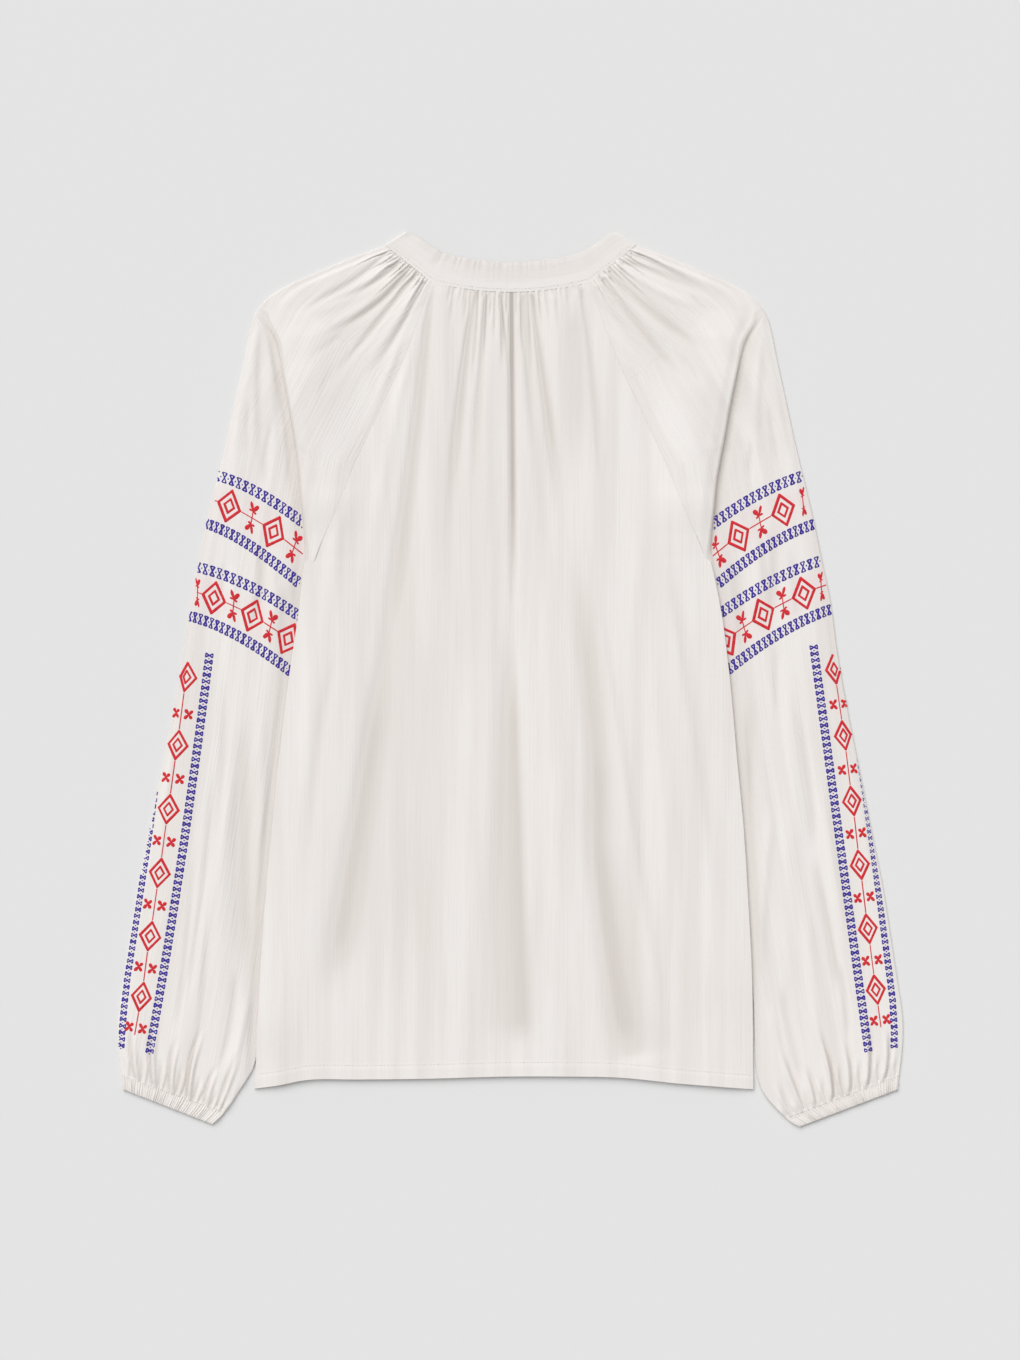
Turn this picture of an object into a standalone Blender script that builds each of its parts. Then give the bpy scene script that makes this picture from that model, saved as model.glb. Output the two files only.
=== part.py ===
"""Embroidered blouse with raglan sleeves, laid flat on a surface with its back up.

Sizes are millimetres, and MM turns them into Blender's metres. +X runs to the right of the back, +Y towards
the neck and +Z up from the surface. The origin is on that surface, under the middle of the blouse. In the
tables x is the distance out from the middle, because both sides share them.

The cloth lies in pairs of layers, a back layer over a front layer. Most pairs lie on the surface. Beside the
armholes a fold of both sleeve layers is tucked under, and lower down the body's sides lie on the sleeves, so
there the upper pair is lifted over what lies below it.
"""

import math
from collections import namedtuple

import bpy
import numpy as np

MM = 0.001
# The middle of the outline in the tables' own y.
MIDDLE_Y = 0.31

# Cloth
WALL = 1.0
BAND_WALL = 1.2
SEAM_GAP = 0.3
NECK_GAP = 0.4
LAYER_GAP = 0.6
TURN_GAP = 0.5
HALF_PAIR = (WALL + LAYER_GAP) / 2
FLOOR_PAIR = WALL / 2 + HALF_PAIR
PAIR_REACH = HALF_PAIR + WALL / 2
PAIR_STEP = 2 * PAIR_REACH + TURN_GAP
FOLD_ARC = math.pi * PAIR_STEP / 2
STEP_TURN = math.radians(38)

# Finished sizes
HEM_DEPTH = 12.0
HEM_RAISE = 0.4
SLIT_LENGTH = 170.0
SLIT_WIDTH = 1.2
BAND_RIPPLE_PITCH = 14.0
CUFF_RIBS = 24
CUFF_RIB_HEIGHT = 0.8

# How many faces there are
BACK_COLUMNS = 40
ARC_STEPS = 3
EDGE_STEPS = 4
BAND_BACK_ROWS = 40
BAND_FRONT_ROWS = 20
BAND_COLUMNS = 3
CUFF_ROWS = 3
CUFF_UNDER_COLUMNS = 8
FOLD_RUNS = 12
CROSSING_SAMPLES = 400

CLOTH_COLOUR = (0.84, 0.815, 0.78, 1.0)
BAND_COLOUR = (0.86, 0.835, 0.80, 1.0)
CUFF_COLOUR = (0.85, 0.82, 0.785, 1.0)

# The line down each side that the top cloth ends on: the fold beside the armhole above the armpit, and the
# side seam below it. turn is how far the folded cloth turns under, in degrees, tuck how deep it lies under,
# and shelf how far in from the line the pair stays level. The lifts count in pairs of layers.
ARMPIT_Y = 100.0
SHELF_SLOPE = 48.0
SideLine = namedtuple("SideLine", "y left_x right_x turn tuck left_lift right_lift shelf")
SIDE_LINE = [
    SideLine(364, 102.5, 102.5, 0, 0, 0, 0, 18),
    SideLine(350, 136.0, 136.0, 0, 0, 0, 0, 18),
    SideLine(330, 181.0, 182.0, 0, 0, 0, 0, 18),
    SideLine(310, 202.0, 203.0, 0, 0, 0, 0, 18),
    SideLine(287, 197.0, 197.5, 38, 0, 0, 0, 18),
    SideLine(268, 193.3, 193.0, 95, 0, 0, 0, 20),
    SideLine(251, 190.0, 189.0, 150, 1, 0, 0, 20),
    SideLine(228, 185.9, 184.3, 180, 4, 0, 0, 20),
    SideLine(206, 182.0, 180.5, 180, 8, 0, 0, 21),
    SideLine(160, 176.5, 172.5, 180, 7, 0, 0, 21),
    SideLine(143, 175.0, 171.0, 155, 2, 0, 0, 21),
    SideLine(122, 173.5, 169.2, 90, 0, 0, 0, 22),
    SideLine(100, 173.0, 168.5, 38, 0, 1, 1, 24),
    SideLine(85, 175.0, 171.7, 0, 0, 1, 1, 27),
    SideLine(58, 178.0, 177.0, 0, 0, 1, 1, 30),
    SideLine(0, 186.5, 184.5, 0, 0, 1, 1, 33),
    SideLine(-70, 195.0, 190.8, 0, 0, 1, 1, 33),
    SideLine(-124, 200.5, 196.0, 0, 0, 1, 1, 32),
    SideLine(-178, 205.5, 199.5, 0, 0, 1, 1, 28),
    SideLine(-252, 210.6, 203.2, 0, 0, 1, 1, 20),
    SideLine(-290, 212.6, 204.0, 0, 0, 1, 0.4, 14),
    SideLine(-320, 214.0, 204.2, 0, 0, 0.35, 0.15, 12),
    SideLine(-345, 215.5, 204.3, 0, 0, 0.1, 0.1, 10),
]

# The raglan seam, shared by the back, the front and the sleeves.
Seam = namedtuple("Seam", "y x")
RAGLAN = [
    Seam(333, 66), Seam(316, 72), Seam(294, 80), Seam(273, 88), Seam(254, 96), Seam(238, 104), Seam(218, 113),
    Seam(195, 124), Seam(167, 136), Seam(137, 148), Seam(113, 159), Seam(100, 164),
]

# Sections of a sleeve's head, from the neck down to the armpit. Each runs from the raglan seam, at inner_y on
# the back and front_y on the front, to the sleeve's outer edge.
Head = namedtuple("Head", "outer_x outer_y inner_y front_y")
HEAD = [
    Head(105.0, 364.0, 333, 300),
    Head(109.0, 362.7, 327, 296),
    Head(121.0, 358.5, 316, 290),
    Head(143.0, 350.0, 294, 279),
    Head(166.0, 340.0, 273, 266),
    Head(190.0, 329.0, 254, 252),
    Head(207.0, 317.0, 238, 238),
    Head(217.0, 300.0, 218, 218),
    Head(224.0, 268.0, 195, 195),
    Head(231.0, 236.0, 167, 167),
    Head(239.0, 199.0, 137, 137),
    Head(246.0, 170.0, 113, 113),
    Head(252.0, 145.0, 100, 100),
]
HEAD_ROWS = [
    0, 1, 2, 3, 4, 5, 6, 6.5, 7, 7.17, 7.33, 7.5, 7.67, 7.83, 8, 8.25, 8.5, 9, 9.5, 10, 10.33, 10.67, 11, 11.33,
    11.67, 12,
]
FIRST_PLEATED = 7

# Sections of a sleeve's arm, from the armpit to the cuff seam. Each runs from the underarm fold, which lies
# under the body, to the sleeve's outer edge. The last row is the cuff's free edge.
Arm = namedtuple("Arm", "outer_x outer_y left_x left_y right_x right_y")
ARM = [
    Arm(255.0, 133.0, 176.5, 88, 173.6, 88),
    Arm(262.0, 98.0, 168, 52, 166, 52),
    Arm(268.5, 67.0, 161, 14, 160, 14),
    Arm(275.5, 17.0, 163, -40, 162, -40),
    Arm(284.0, -30.0, 170, -88, 169, -88),
    Arm(294.0, -80.0, 180, -135, 178, -135),
    Arm(304.0, -130.0, 189, -180, 187, -180),
    Arm(313.0, -175.0, 199, -222, 197, -219),
    Arm(320.0, -220.0, 207, -264, 205, -262),
    Arm(325.0, -253.0, 215, -297, 206, -297),
    Arm(329.5, -285.0, 218, -326, 207, -326),
    Arm(329.0, -312.0, 225, -350, 212, -348),
    Arm(326.5, -333.0, 239, -366, 231, -369),
    Arm(325.5, -344.5, 250, -374, 242.5, -376),
]
CUFF_SEAM = len(ARM) - 2
ARM_ROWS = [0, 1, 2, 3, 4, 5, 6, 7, 8, 9, 10, 11, CUFF_SEAM]

# Where the columns of a sleeve lie: in from the fold beside the armhole, and out from it.
HEAD_PLACES = [0, 8, 16, 24, 33, 42, 52, 62, 73, 84, 96, 108, 121]
ARM_PLACES = [8, 18, 30, 42, 54, 66, 78]
RIM = 6.0
LEAST_RUN = 2.0

# The neckband's seam edge and free edge. The back half runs across the back, and the hidden front half from a
# fold to the middle of the front. The seam edge follows the neck seams.
Band = namedtuple("Band", "seam_x free_x free_y ripple")
BAND_BACK = [
    Band(-104.5, -85.7, 375.6, 0),
    Band(-97.0, -76.0, 369.5, 0),
    Band(-84.0, -64.0, 362.0, 0),
    Band(-66.0, -53.0, 357.0, 0.5),
    Band(-45.0, -38.0, 353.0, 0.9),
    Band(-22.0, -20.0, 350.5, 0.9),
    Band(0.0, 0.0, 349.5, 0.9),
    Band(22.0, 20.0, 350.7, 0.9),
    Band(45.0, 42.0, 353.5, 0.5),
    Band(66.0, 58.0, 358.0, 0),
    Band(84.0, 70.0, 364.5, 0),
    Band(97.0, 79.5, 371.5, 0),
    Band(104.5, 86.0, 375.6, 0),
]
BAND_FRONT = [
    Band(104.5, 85.8, 375.6, 0),
    Band(95.7, 74.0, 352.0, 0),
    Band(86.0, 63.0, 328.0, 0),
    Band(77.8, 54.0, 309.0, 0),
    Band(60.0, 40.0, 293.0, 0),
    Band(32.0, 22.0, 285.0, 0),
    Band(0.8, 0.8, 282.0, 0),
]

# The hem edge of the body, and the neck seams of its two panels.
HEM = [
    Seam(-344.0, -216), Seam(-341.0, -195), Seam(-337.0, -175), Seam(-336.0, -126), Seam(-335.5, -76),
    Seam(-333.5, 0), Seam(-333.5, 42), Seam(-334.5, 92), Seam(-339.5, 142), Seam(-342.5, 180), Seam(-344.5, 205),
]
HEM_Y = -344.0
Neck = namedtuple("Neck", "side_x side_y middle_y")
BACK_NECK = Neck(66.0, 333.0, 324.7)
FRONT_NECK = Neck(77.6, 300.0, 257.2)

# Heights down the body at which a row of faces runs, measured at its sides.
BACK_ROWS = [
    333, 327, 316, 306, 294, 273, 254, 238, 218, 195, 167, 137, 113, 100, 85, 58, 15, -30, -80, -130, -180,
    -230, -275, -308, -331, -332.5, HEM_Y,
]
FRONT_ROWS = [
    300, 290, 273, 254, 238, 218, 195, 167, 137, 113, 100, 85, 58, 15, -30, -80, -130, -180, -230, -275, -308,
    HEM_Y,
]
BACK_SPREAD = 0.8

# Folds of the top layer: a ridge, or a trough where height is below zero, along a curve through three points.
Fold = namedtuple("Fold", "x0 y0 x1 y1 x2 y2 start_width end_width height")
FOLD_BASE = 0.9
BODY_FOLDS = [
    Fold(-67, 330, -96, 100, -158, -270, 6, 16, -1.5),
    Fold(-76, 318, -107, 167, -147, -68, 6, 13, 1.0),
    Fold(-135, 167, -158, 33, -180, -186, 9, 12, 0.9),
    Fold(-29, 326, -42, 234, -55, 75, 5, 12, -1.2),
    Fold(-59, 75, -72, -93, -72, -278, 16, 20, -0.9),
    Fold(-24, 318, -19, 33, -27, -270, 5, 14, 1.3),
    Fold(0, 325, 2, 60, 11, -328, 5, 14, -1.6),
    Fold(17, 323, 31, 226, 47, 100, 5, 12, -1.2),
    Fold(8, 293, 32, 33, 47, -270, 6, 15, 1.2),
    Fold(59, 327, 70, 234, 78, 134, 5, 10, -1.2),
    Fold(50, 134, 72, -18, 94, -186, 12, 15, -1.6),
    Fold(85, -118, 100, -228, 113, -322, 14, 15, -2.2),
    Fold(68, 100, 97, -102, 132, -325, 10, 13, 1.6),
    Fold(132, 100, 152, -18, 191, -270, 10, 13, -0.9),
]
SLEEVE_FOLDS = {
    -1: [
        Fold(-96, 355, -135, 325, -185, 303, 7, 9, 1.2),
        Fold(-84, 346, -115, 312, -167, 284, 7, 9, -1.3),
        Fold(-79, 340, -105, 308, -151, 249, 7, 9, -1.6),
        Fold(-74, 337, -100, 293, -143, 234, 7, 9, 1.3),
        Fold(-202, 293, -200, 234, -196, 167, 8, 8, 1.1),
        Fold(-202, 117, -199, 66, -204, 16, 8, 9, 1.3),
        Fold(-215, 117, -214, 75, -221, 31, 8, 9, -1.3),
        Fold(-221, -18, -225, -144, -220, -278, 10, 12, -1.5),
        Fold(-239, -40, -246, -160, -258, -300, 9, 10, 1.4),
        Fold(-224, -261, -229, -303, -242, -349, 8, 6, 1.2),
    ],
    1: [
        Fold(105, 359, 151, 339, 189, 318, 7, 9, 1.1),
        Fold(83, 342, 117, 308, 169, 270, 7, 9, -1.4),
        Fold(77, 335, 109, 293, 151, 243, 7, 9, -1.6),
        Fold(74, 332, 100, 291, 132, 241, 7, 9, 1.2),
        Fold(210, 302, 204, 234, 205, 176, 8, 8, 1.1),
        Fold(208, 134, 208, 83, 203, 33, 8, 9, 1.3),
        Fold(221, 134, 222, 83, 218, 33, 8, 9, -1.2),
        Fold(204, -9, 199, -102, 201, -211, 9, 10, -1.4),
        Fold(231, -20, 235, -150, 240, -270, 10, 11, 1.4),
        Fold(253, -100, 264, -190, 278, -270, 9, 9, -1.5),
        Fold(218, -270, 226, -312, 238, -354, 8, 6, 1.2),
    ],
}


def smooth(at, knots, values):
    """A smooth curve through (knots, values), read at the given places. Knots rise."""
    knots, values = np.asarray(knots, float), np.asarray(values, float)
    at = np.clip(np.asarray(at, float), knots[0], knots[-1])
    slopes = np.gradient(values, knots)
    i = np.clip(np.searchsorted(knots, at, side="right") - 1, 0, len(knots) - 2)
    step = knots[i + 1] - knots[i]
    t = (at - knots[i]) / step
    start = (1 + 2 * t) * (1 - t) ** 2 * values[i] + t * (1 - t) ** 2 * step * slopes[i]
    return start + t * t * (3 - 2 * t) * values[i + 1] + t * t * (t - 1) * step * slopes[i + 1]


def ease(at, low, high):
    """0 below low, 1 above high, and smooth in between."""
    t = np.clip((np.asarray(at, float) - low) / (high - low), 0, 1)
    return t * t * (3 - 2 * t)


def column(table, name):
    return np.array([getattr(row, name) for row in table], float)


def read_down(table, name, y):
    """A column of a table whose y falls from row to row, read at y."""
    return smooth(y, column(table, "y")[::-1], column(table, name)[::-1])


def read_row(table, name, at):
    """A column of a table, read at a row number, which may lie between rows."""
    return float(np.interp(at, np.arange(len(table)), column(table, name)))


def side_name(side):
    return "left" if side < 0 else "right"


def side_x(side, y):
    """How far out the top cloth's side line is."""
    return read_down(SIDE_LINE, side_name(side) + "_x", y)


def fold_turn(y):
    return np.radians(np.clip(read_down(SIDE_LINE, "turn", y), 0, 180))


def fold_tuck(y):
    return np.clip(read_down(SIDE_LINE, "tuck", y), 0, 10)


def fold_radius(turn):
    """The radius at which a pair turns under. It tightens until a full turn clears one pair of layers."""
    turn = np.maximum(turn, 1e-3)
    full = PAIR_STEP * (1 + (turn - STEP_TURN) / (math.pi - STEP_TURN)) / 2 / (1 - np.cos(turn))
    return np.where(turn < STEP_TURN, FOLD_ARC / turn, full)


def fold_drop(turn, tuck):
    """How far a pair drops when it turns under by that many radians, runs on by tuck and turns back out."""
    turn = np.maximum(turn, 1e-3)
    return 2 * fold_radius(turn) * (1 - np.cos(turn)) + tuck * np.sin(turn)


def side_lift(side, y):
    """How far the top pair is raised at its side line."""
    under_body = PAIR_STEP * read_down(SIDE_LINE, side_name(side) + "_lift", np.minimum(y, ARMPIT_Y))
    return np.where(np.asarray(y) > ARMPIT_Y, fold_drop(fold_turn(y), fold_tuck(y)), under_body)


def pair_height(x, y):
    """The height of the middle of the top pair of layers."""
    raised = np.zeros(np.broadcast(x, y).shape)
    for side in (-1, 1):
        inside = side_x(side, y) - np.abs(x)
        shelf = read_down(SIDE_LINE, "shelf", y)
        here = side_lift(side, y) * (1 - ease(inside, shelf, shelf + SHELF_SLOPE))
        raised = np.where(np.sign(x) == side, here, raised)
    return FLOOR_PAIR + raised


def through(first, middle, last, t):
    """A curve that starts at first, passes middle half way and ends at last."""
    return first * (2 * t - 1) * (t - 1) + middle * 4 * t * (1 - t) + last * t * (2 * t - 1)


def fold_relief(folds, x, y):
    """The height that a table of folds adds at each point, never below zero."""
    spots = np.stack(np.broadcast_arrays(x, y), axis=-1)[..., None, :].astype(float)
    added = np.full(spots.shape[:-2], FOLD_BASE)
    t = np.linspace(0, 1, FOLD_RUNS + 1)
    for fold in folds:
        line = np.column_stack([through(fold.x0, fold.x1, fold.x2, t), through(fold.y0, fold.y1, fold.y2, t)])
        start, run = line[:-1], np.diff(line, axis=0)
        share = np.clip(((spots - start) * run).sum(axis=-1) / (run**2).sum(axis=-1), 0, 1)
        away = np.linalg.norm(spots - start - share[..., None] * run, axis=-1)
        nearest = away.argmin(axis=-1)[..., None]
        along = (nearest + np.take_along_axis(share, nearest, axis=-1))[..., 0] / FOLD_RUNS
        width = fold.start_width + (fold.end_width - fold.start_width) * along
        added = added + fold.height * np.exp(-((away.min(axis=-1) / width) ** 2))
    return np.maximum(added, 0)


def raglan_x(y):
    return np.interp(y, column(RAGLAN, "y")[::-1], column(RAGLAN, "x")[::-1])


def add_piece(name, points, faces, wall, colour):
    """A named object: a sheet through the middle of the cloth, made into a wall by a Solidify modifier.

    Corners that coincide become one, and faces that close up are left out."""
    number = {}
    merged = [number.setdefault(tuple(np.round(point, 4)), len(number)) for point in points]
    whole = []
    for face in faces:
        corners = list(dict.fromkeys(merged[i] for i in face))
        if len(corners) > 2:
            whole.append(corners)
    used = sorted({corner for face in whole for corner in face})
    renumbered = {old: new for new, old in enumerate(used)}
    places = (np.array(list(number))[used] - [0, MIDDLE_Y, 0]) * MM
    mesh = bpy.data.meshes.new(name)
    mesh.from_pydata(places.tolist(), [], [[renumbered[i] for i in face] for face in whole])
    mesh.shade_smooth()
    piece = bpy.data.objects.new(name, mesh)
    bpy.context.scene.collection.objects.link(piece)
    thicken = piece.modifiers.new("cloth wall", "SOLIDIFY")
    thicken.thickness = wall * MM
    thicken.offset = 0
    thicken.use_even_offset = True
    thicken.use_quality_normals = True
    material = bpy.data.materials.new(name + " cloth")
    material.use_nodes = True
    shader = material.node_tree.nodes["Principled BSDF"]
    shader.inputs["Base Color"].default_value = colour
    shader.inputs["Roughness"].default_value = 0.9
    shader.inputs["Metallic"].default_value = 0.0
    mesh.materials.append(material)
    return piece


def grid_faces(rows, columns, closed=False, keep=lambda row, col: True):
    """The four-sided faces of a grid of points, which may close round its columns."""
    faces = []
    for row in range(rows - 1):
        for col in range(columns if closed else columns - 1):
            beside = (col + 1) % columns
            if keep(row, col):
                corners = [(row, col), (row, beside), (row + 1, beside), (row + 1, col)]
                faces.append([r * columns + c for r, c in corners])
    return faces


def panel_edge(side, y):
    """How far out a body panel's edge is: the raglan seam above the armpit, and the side line below it."""
    return np.where(np.asarray(y) >= ARMPIT_Y, raglan_x(y) - SEAM_GAP / 2, side_x(side, y) - WALL / 2)


def neck_y(neck, x):
    """The height of the neck seam: a curve across a panel, and straight on to the sleeve's outer edge."""
    corner = HEAD[0]
    beyond = (np.abs(x) - neck.side_x) * (corner.outer_y - neck.side_y) / (corner.outer_x - neck.side_x)
    sag = (neck.middle_y - neck.side_y) * (1 - (x / neck.side_x) ** 2)
    return neck.side_y + np.where(np.abs(x) < neck.side_x, sag, beyond)


def panel_grid(rows, places, spread, neck):
    """The plan of a body panel as grids of x and y. spread closes its middle columns up at the neck."""
    x_grid, y_grid = [], []
    for y_side in rows:
        left, right = -float(panel_edge(-1, y_side)), float(panel_edge(1, y_side))
        down = (neck.side_y - y_side) / (neck.side_y - rows[-1])
        closed_up = 0.5 + (places - 0.5) * np.interp(np.abs(places - 0.5), [0, 0.3, 0.5], [spread, spread, 1])
        share = closed_up + (places - closed_up) * ease(down, 0.0, 0.8)
        x_row = left + (right - left) * share
        neck_sag = (neck.middle_y - neck.side_y) * (1 - (2 * share - 1) ** 2)
        hem_lift = smooth(x_row, column(HEM, "x"), column(HEM, "y")) - HEM_Y
        x_grid.append(x_row)
        y_grid.append(y_side + neck_sag * (1 - down) ** 2 + hem_lift * ease(down, 0.6, 1.0))
    return np.array(x_grid), np.array(y_grid)


def seam_pinch(x, y):
    """How far the two panels close up on each other at their side seams."""
    inside = np.where(x < 0, side_x(-1, y), side_x(1, y)) - np.abs(x)
    return (LAYER_GAP - SEAM_GAP) / 2 * (1 - ease(inside, WALL, 6)) * (y < ARMPIT_Y)


def body_relief(x, y):
    """Folds of the back panel, fading out at its seams."""
    side_inside = np.where(x < 0, side_x(-1, y), side_x(1, y)) - np.abs(x)
    seam_inside = np.where(y > ARMPIT_Y, raglan_x(y) - np.abs(x), 100)
    fade = ease(side_inside, 2, 22) * ease(seam_inside, 0, 12)
    return fold_relief(BODY_FOLDS, x, y) * fade


def build_back():
    places = np.linspace(0, 1, BACK_COLUMNS + 1)
    x, y = panel_grid(BACK_ROWS, places, BACK_SPREAD, BACK_NECK)
    below_neck = BACK_NECK.side_y - np.array(BACK_ROWS, float)[:, None]
    strength = np.interp(below_neck, [0, 6, 20, 45, 90], [0.5, 1.3, 1.2, 0.6, 0])
    gathered = (np.arange(BACK_COLUMNS + 1) % 2 == 0) & (np.abs(places - 0.5) < 0.31)
    hem = HEM_RAISE * (np.array(BACK_ROWS) < HEM_Y + HEM_DEPTH)[:, None]
    z = pair_height(x, y) + HALF_PAIR - seam_pinch(x, y) + strength * gathered + hem
    z = z + body_relief(x, y) * ease(below_neck, 0, 16)
    points = np.stack([x, y, z], axis=-1).reshape(-1, 3)
    return add_piece("back", points, grid_faces(*x.shape), WALL, CLOTH_COLOUR)


def build_front():
    """The front panel, with a plain slit down its middle for the head to pass."""
    edge = np.linspace(0, 1, BACK_COLUMNS + 1)[[0, 1, 2, 3, 4, 5, 6, 7, 8, 10, 12, 14, 16, 18, 20]]
    places = np.concatenate([edge, 1 - edge[::-1]])
    x, y = panel_grid(FRONT_ROWS, places, 1.0, FRONT_NECK)
    slit = len(edge) - 1
    x[:, slit], x[:, slit + 1] = -SLIT_WIDTH / 2, SLIT_WIDTH / 2
    y[:, slit + 1] = y[:, slit]
    z = pair_height(x, y) - HALF_PAIR + seam_pinch(x, y)
    slit_bottom = FRONT_NECK.middle_y - SLIT_LENGTH

    def keep(row, col):
        return col != slit or y[row, slit] <= slit_bottom

    points = np.stack([x, y, z], axis=-1).reshape(-1, 3)
    return add_piece("front", points, grid_faces(*x.shape, keep=keep), WALL, CLOTH_COLOUR)


def sleeve_relief(side, x, y, lies_under, seam_gap, outer_gap):
    """Folds of a sleeve's top layer. They fade at the seams, at the side line and at the outer edge."""
    beyond = np.abs(x) - side_x(side, y)
    shown = np.where(lies_under, ease(beyond, 3, 9), ease(-beyond, 2, 12) * ease(seam_gap, 0, 12))
    return fold_relief(SLEEVE_FOLDS[side], x, y) * shown * ease(outer_gap, 1, 9)


def head_ends(at, layer):
    """The inner and outer ends of a section of the sleeve's head, in plan, for its back or front layer."""
    inner_y = read_row(HEAD, "inner_y" if layer > 0 else "front_y", at)
    outer = np.array([read_row(HEAD, "outer_x", at), read_row(HEAD, "outer_y", at)])
    return np.array([float(raglan_x(inner_y)), inner_y]), outer


def arm_ends(at, side):
    name = side_name(side)
    inner = np.array([read_row(ARM, name + "_x", at), read_row(ARM, name + "_y", at)])
    return inner, np.array([read_row(ARM, "outer_x", at), read_row(ARM, "outer_y", at)])


def pleat_path(start, height, turn, tuck):
    """The middle of a pair as it turns under, runs on and turns back out: places, heights and headings."""
    radius = float(fold_radius(turn))
    first = np.linspace(0, turn, ARC_STEPS + 1)[1:]
    second = np.linspace(turn, 0, ARC_STEPS + 1)[1:]
    places = list(start + radius * np.sin(first))
    heights = list(height - radius * (1 - np.cos(first)))
    places.append(places[-1] + tuck * math.cos(turn))
    heights.append(heights[-1] - tuck * math.sin(turn))
    far, low = places[-1], heights[-1]
    places += list(far + radius * (math.sin(turn) - np.sin(second)))
    heights += list(low - radius * (np.cos(second) - math.cos(turn)))
    return np.array(places), np.array(heights), np.array([*first, turn, *second])


def fold_at(side, inner, outer):
    """Where a section crosses the side line: how far along, at which y, and how much it slants across it."""
    length = math.dist(inner, outer)
    shares = np.linspace(0, 1, CROSSING_SAMPLES)
    line = inner + np.outer(shares, outer - inner)
    crossing = shares[np.argmax(line[:, 0] >= side_x(side, line[:, 1]))]
    y = inner[1] + crossing * (outer[1] - inner[1])
    lean = float(side_x(side, y + 2) - side_x(side, y - 2)) / 4
    across = np.array([1, -lean]) / math.hypot(1, lean)
    return crossing * length, y, length / float((outer - inner) @ across)


def layer_points(side, inner, outer, layer, fold, turn, tuck, slant, on_floor):
    """One layer of a section, from its inner end to where the outer edge turns, as points of x, y and z."""
    length = math.dist(inner, outer)
    along = (outer - inner) / length
    end = length - PAIR_REACH
    low = PAIR_REACH if on_floor else SEAM_GAP

    def height(places):
        spot = inner + np.outer(places, along)
        return np.full(len(places), FLOOR_PAIR) if on_floor else pair_height(side * spot[:, 0], spot[:, 1])

    before = np.maximum(low, fold - np.array(HEAD_PLACES[::-1], float))
    top = height(before)
    if turn > 0:
        places, heights, headings = pleat_path(0, top[-1], turn, tuck)
        places = before[-1] + places * slant
        drop = top[-1] - heights
        heights = top[-1] - drop * (top[-1] - FLOOR_PAIR) / drop[-1]
    else:
        places = np.full(2 * ARC_STEPS + 1, before[-1])
        heights, headings = np.full(len(places), top[-1]), np.zeros(len(places))
    beyond = np.minimum(places[-1] + np.array([*ARM_PLACES, length]), end)
    after = np.full(len(beyond), FLOOR_PAIR) if turn > 0 else height(beyond)
    places = np.concatenate([before, places, beyond])
    heights = np.concatenate([top, heights, after])
    headings = np.concatenate([np.zeros(len(before)), headings, np.zeros(len(beyond))])
    plan = inner + np.outer(places + layer * HALF_PAIR * slant * np.sin(headings), along)
    z = heights + layer * HALF_PAIR * np.cos(headings)
    if layer > 0:
        past_fold = np.arange(len(places)) >= len(before)
        lies_under = on_floor | (past_fold & (turn > 0))
        z = z + sleeve_relief(side, side * plan[:, 0], plan[:, 1], lies_under, places, end - places)
    return np.column_stack([side * plan[:, 0], plan[:, 1], z])


def edge_turn(first, last, outward, side):
    """The points of a half-turn from one layer's end to the other's, bulging outward in plan."""
    points = []
    for angle in np.linspace(0, math.pi, EDGE_STEPS + 1)[1:-1]:
        share = (1 - math.cos(angle)) / 2
        point = first + (last - first) * share
        point[:2] += np.array([side * outward[0], outward[1]]) * HALF_PAIR * math.sin(angle)
        points.append(point)
    return points


def sleeve_section(side, at, is_head):
    """One ring of a sleeve: the back layer outwards, the outer edge, the front layer back and the inner edge."""
    if is_head:
        back_ends, front_ends = head_ends(at, 1), head_ends(at, -1)
        crossing, cross_y, slant = fold_at(side, *back_ends)
        turn = float(fold_turn(cross_y)) if at >= FIRST_PLEATED else 0.0
        tuck = float(fold_tuck(cross_y))
        reach = (min(float(fold_radius(turn)), FOLD_ARC) + PAIR_REACH) * math.sin(min(turn, math.pi / 2)) * slant
        fold = crossing - reach if turn > 0 else math.dist(*back_ends) - PAIR_REACH - RIM
        fold = SEAM_GAP if fold < LEAST_RUN else fold
    else:
        back_ends = front_ends = arm_ends(at, side)
        turn, tuck, slant, fold = 0.0, 0.0, 1.0, PAIR_REACH
    front_fold = fold if turn > 0 or not is_head else math.dist(*front_ends) - PAIR_REACH - RIM
    back = layer_points(side, *back_ends, 1, fold, turn, tuck, slant, not is_head)
    front = layer_points(side, *front_ends, -1, front_fold, turn, tuck, slant, not is_head)
    outward = [(outer - inner) / math.dist(inner, outer) for inner, outer in (back_ends, front_ends)]
    outer_edge = edge_turn(back[-1], front[-1], (outward[0] + outward[1]) / 2, side)
    inner_edge = edge_turn(front[0], back[0], -outward[0], side)
    return np.array([*back, *outer_edge, *front[::-1], *inner_edge])


def build_sleeve(name, side):
    heads = [sleeve_section(side, at, True) for at in HEAD_ROWS]
    arms = [sleeve_section(side, at, False) for at in ARM_ROWS]
    columns = len(heads[0])
    seam_columns = range(columns - EDGE_STEPS, columns)

    def keep(row, col):
        return row >= len(heads) or col not in seam_columns

    points = np.concatenate(heads + arms)
    faces = grid_faces(len(heads) + len(arms), columns, closed=True, keep=keep)
    return add_piece(name, points, faces, WALL, CLOTH_COLOUR)


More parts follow.
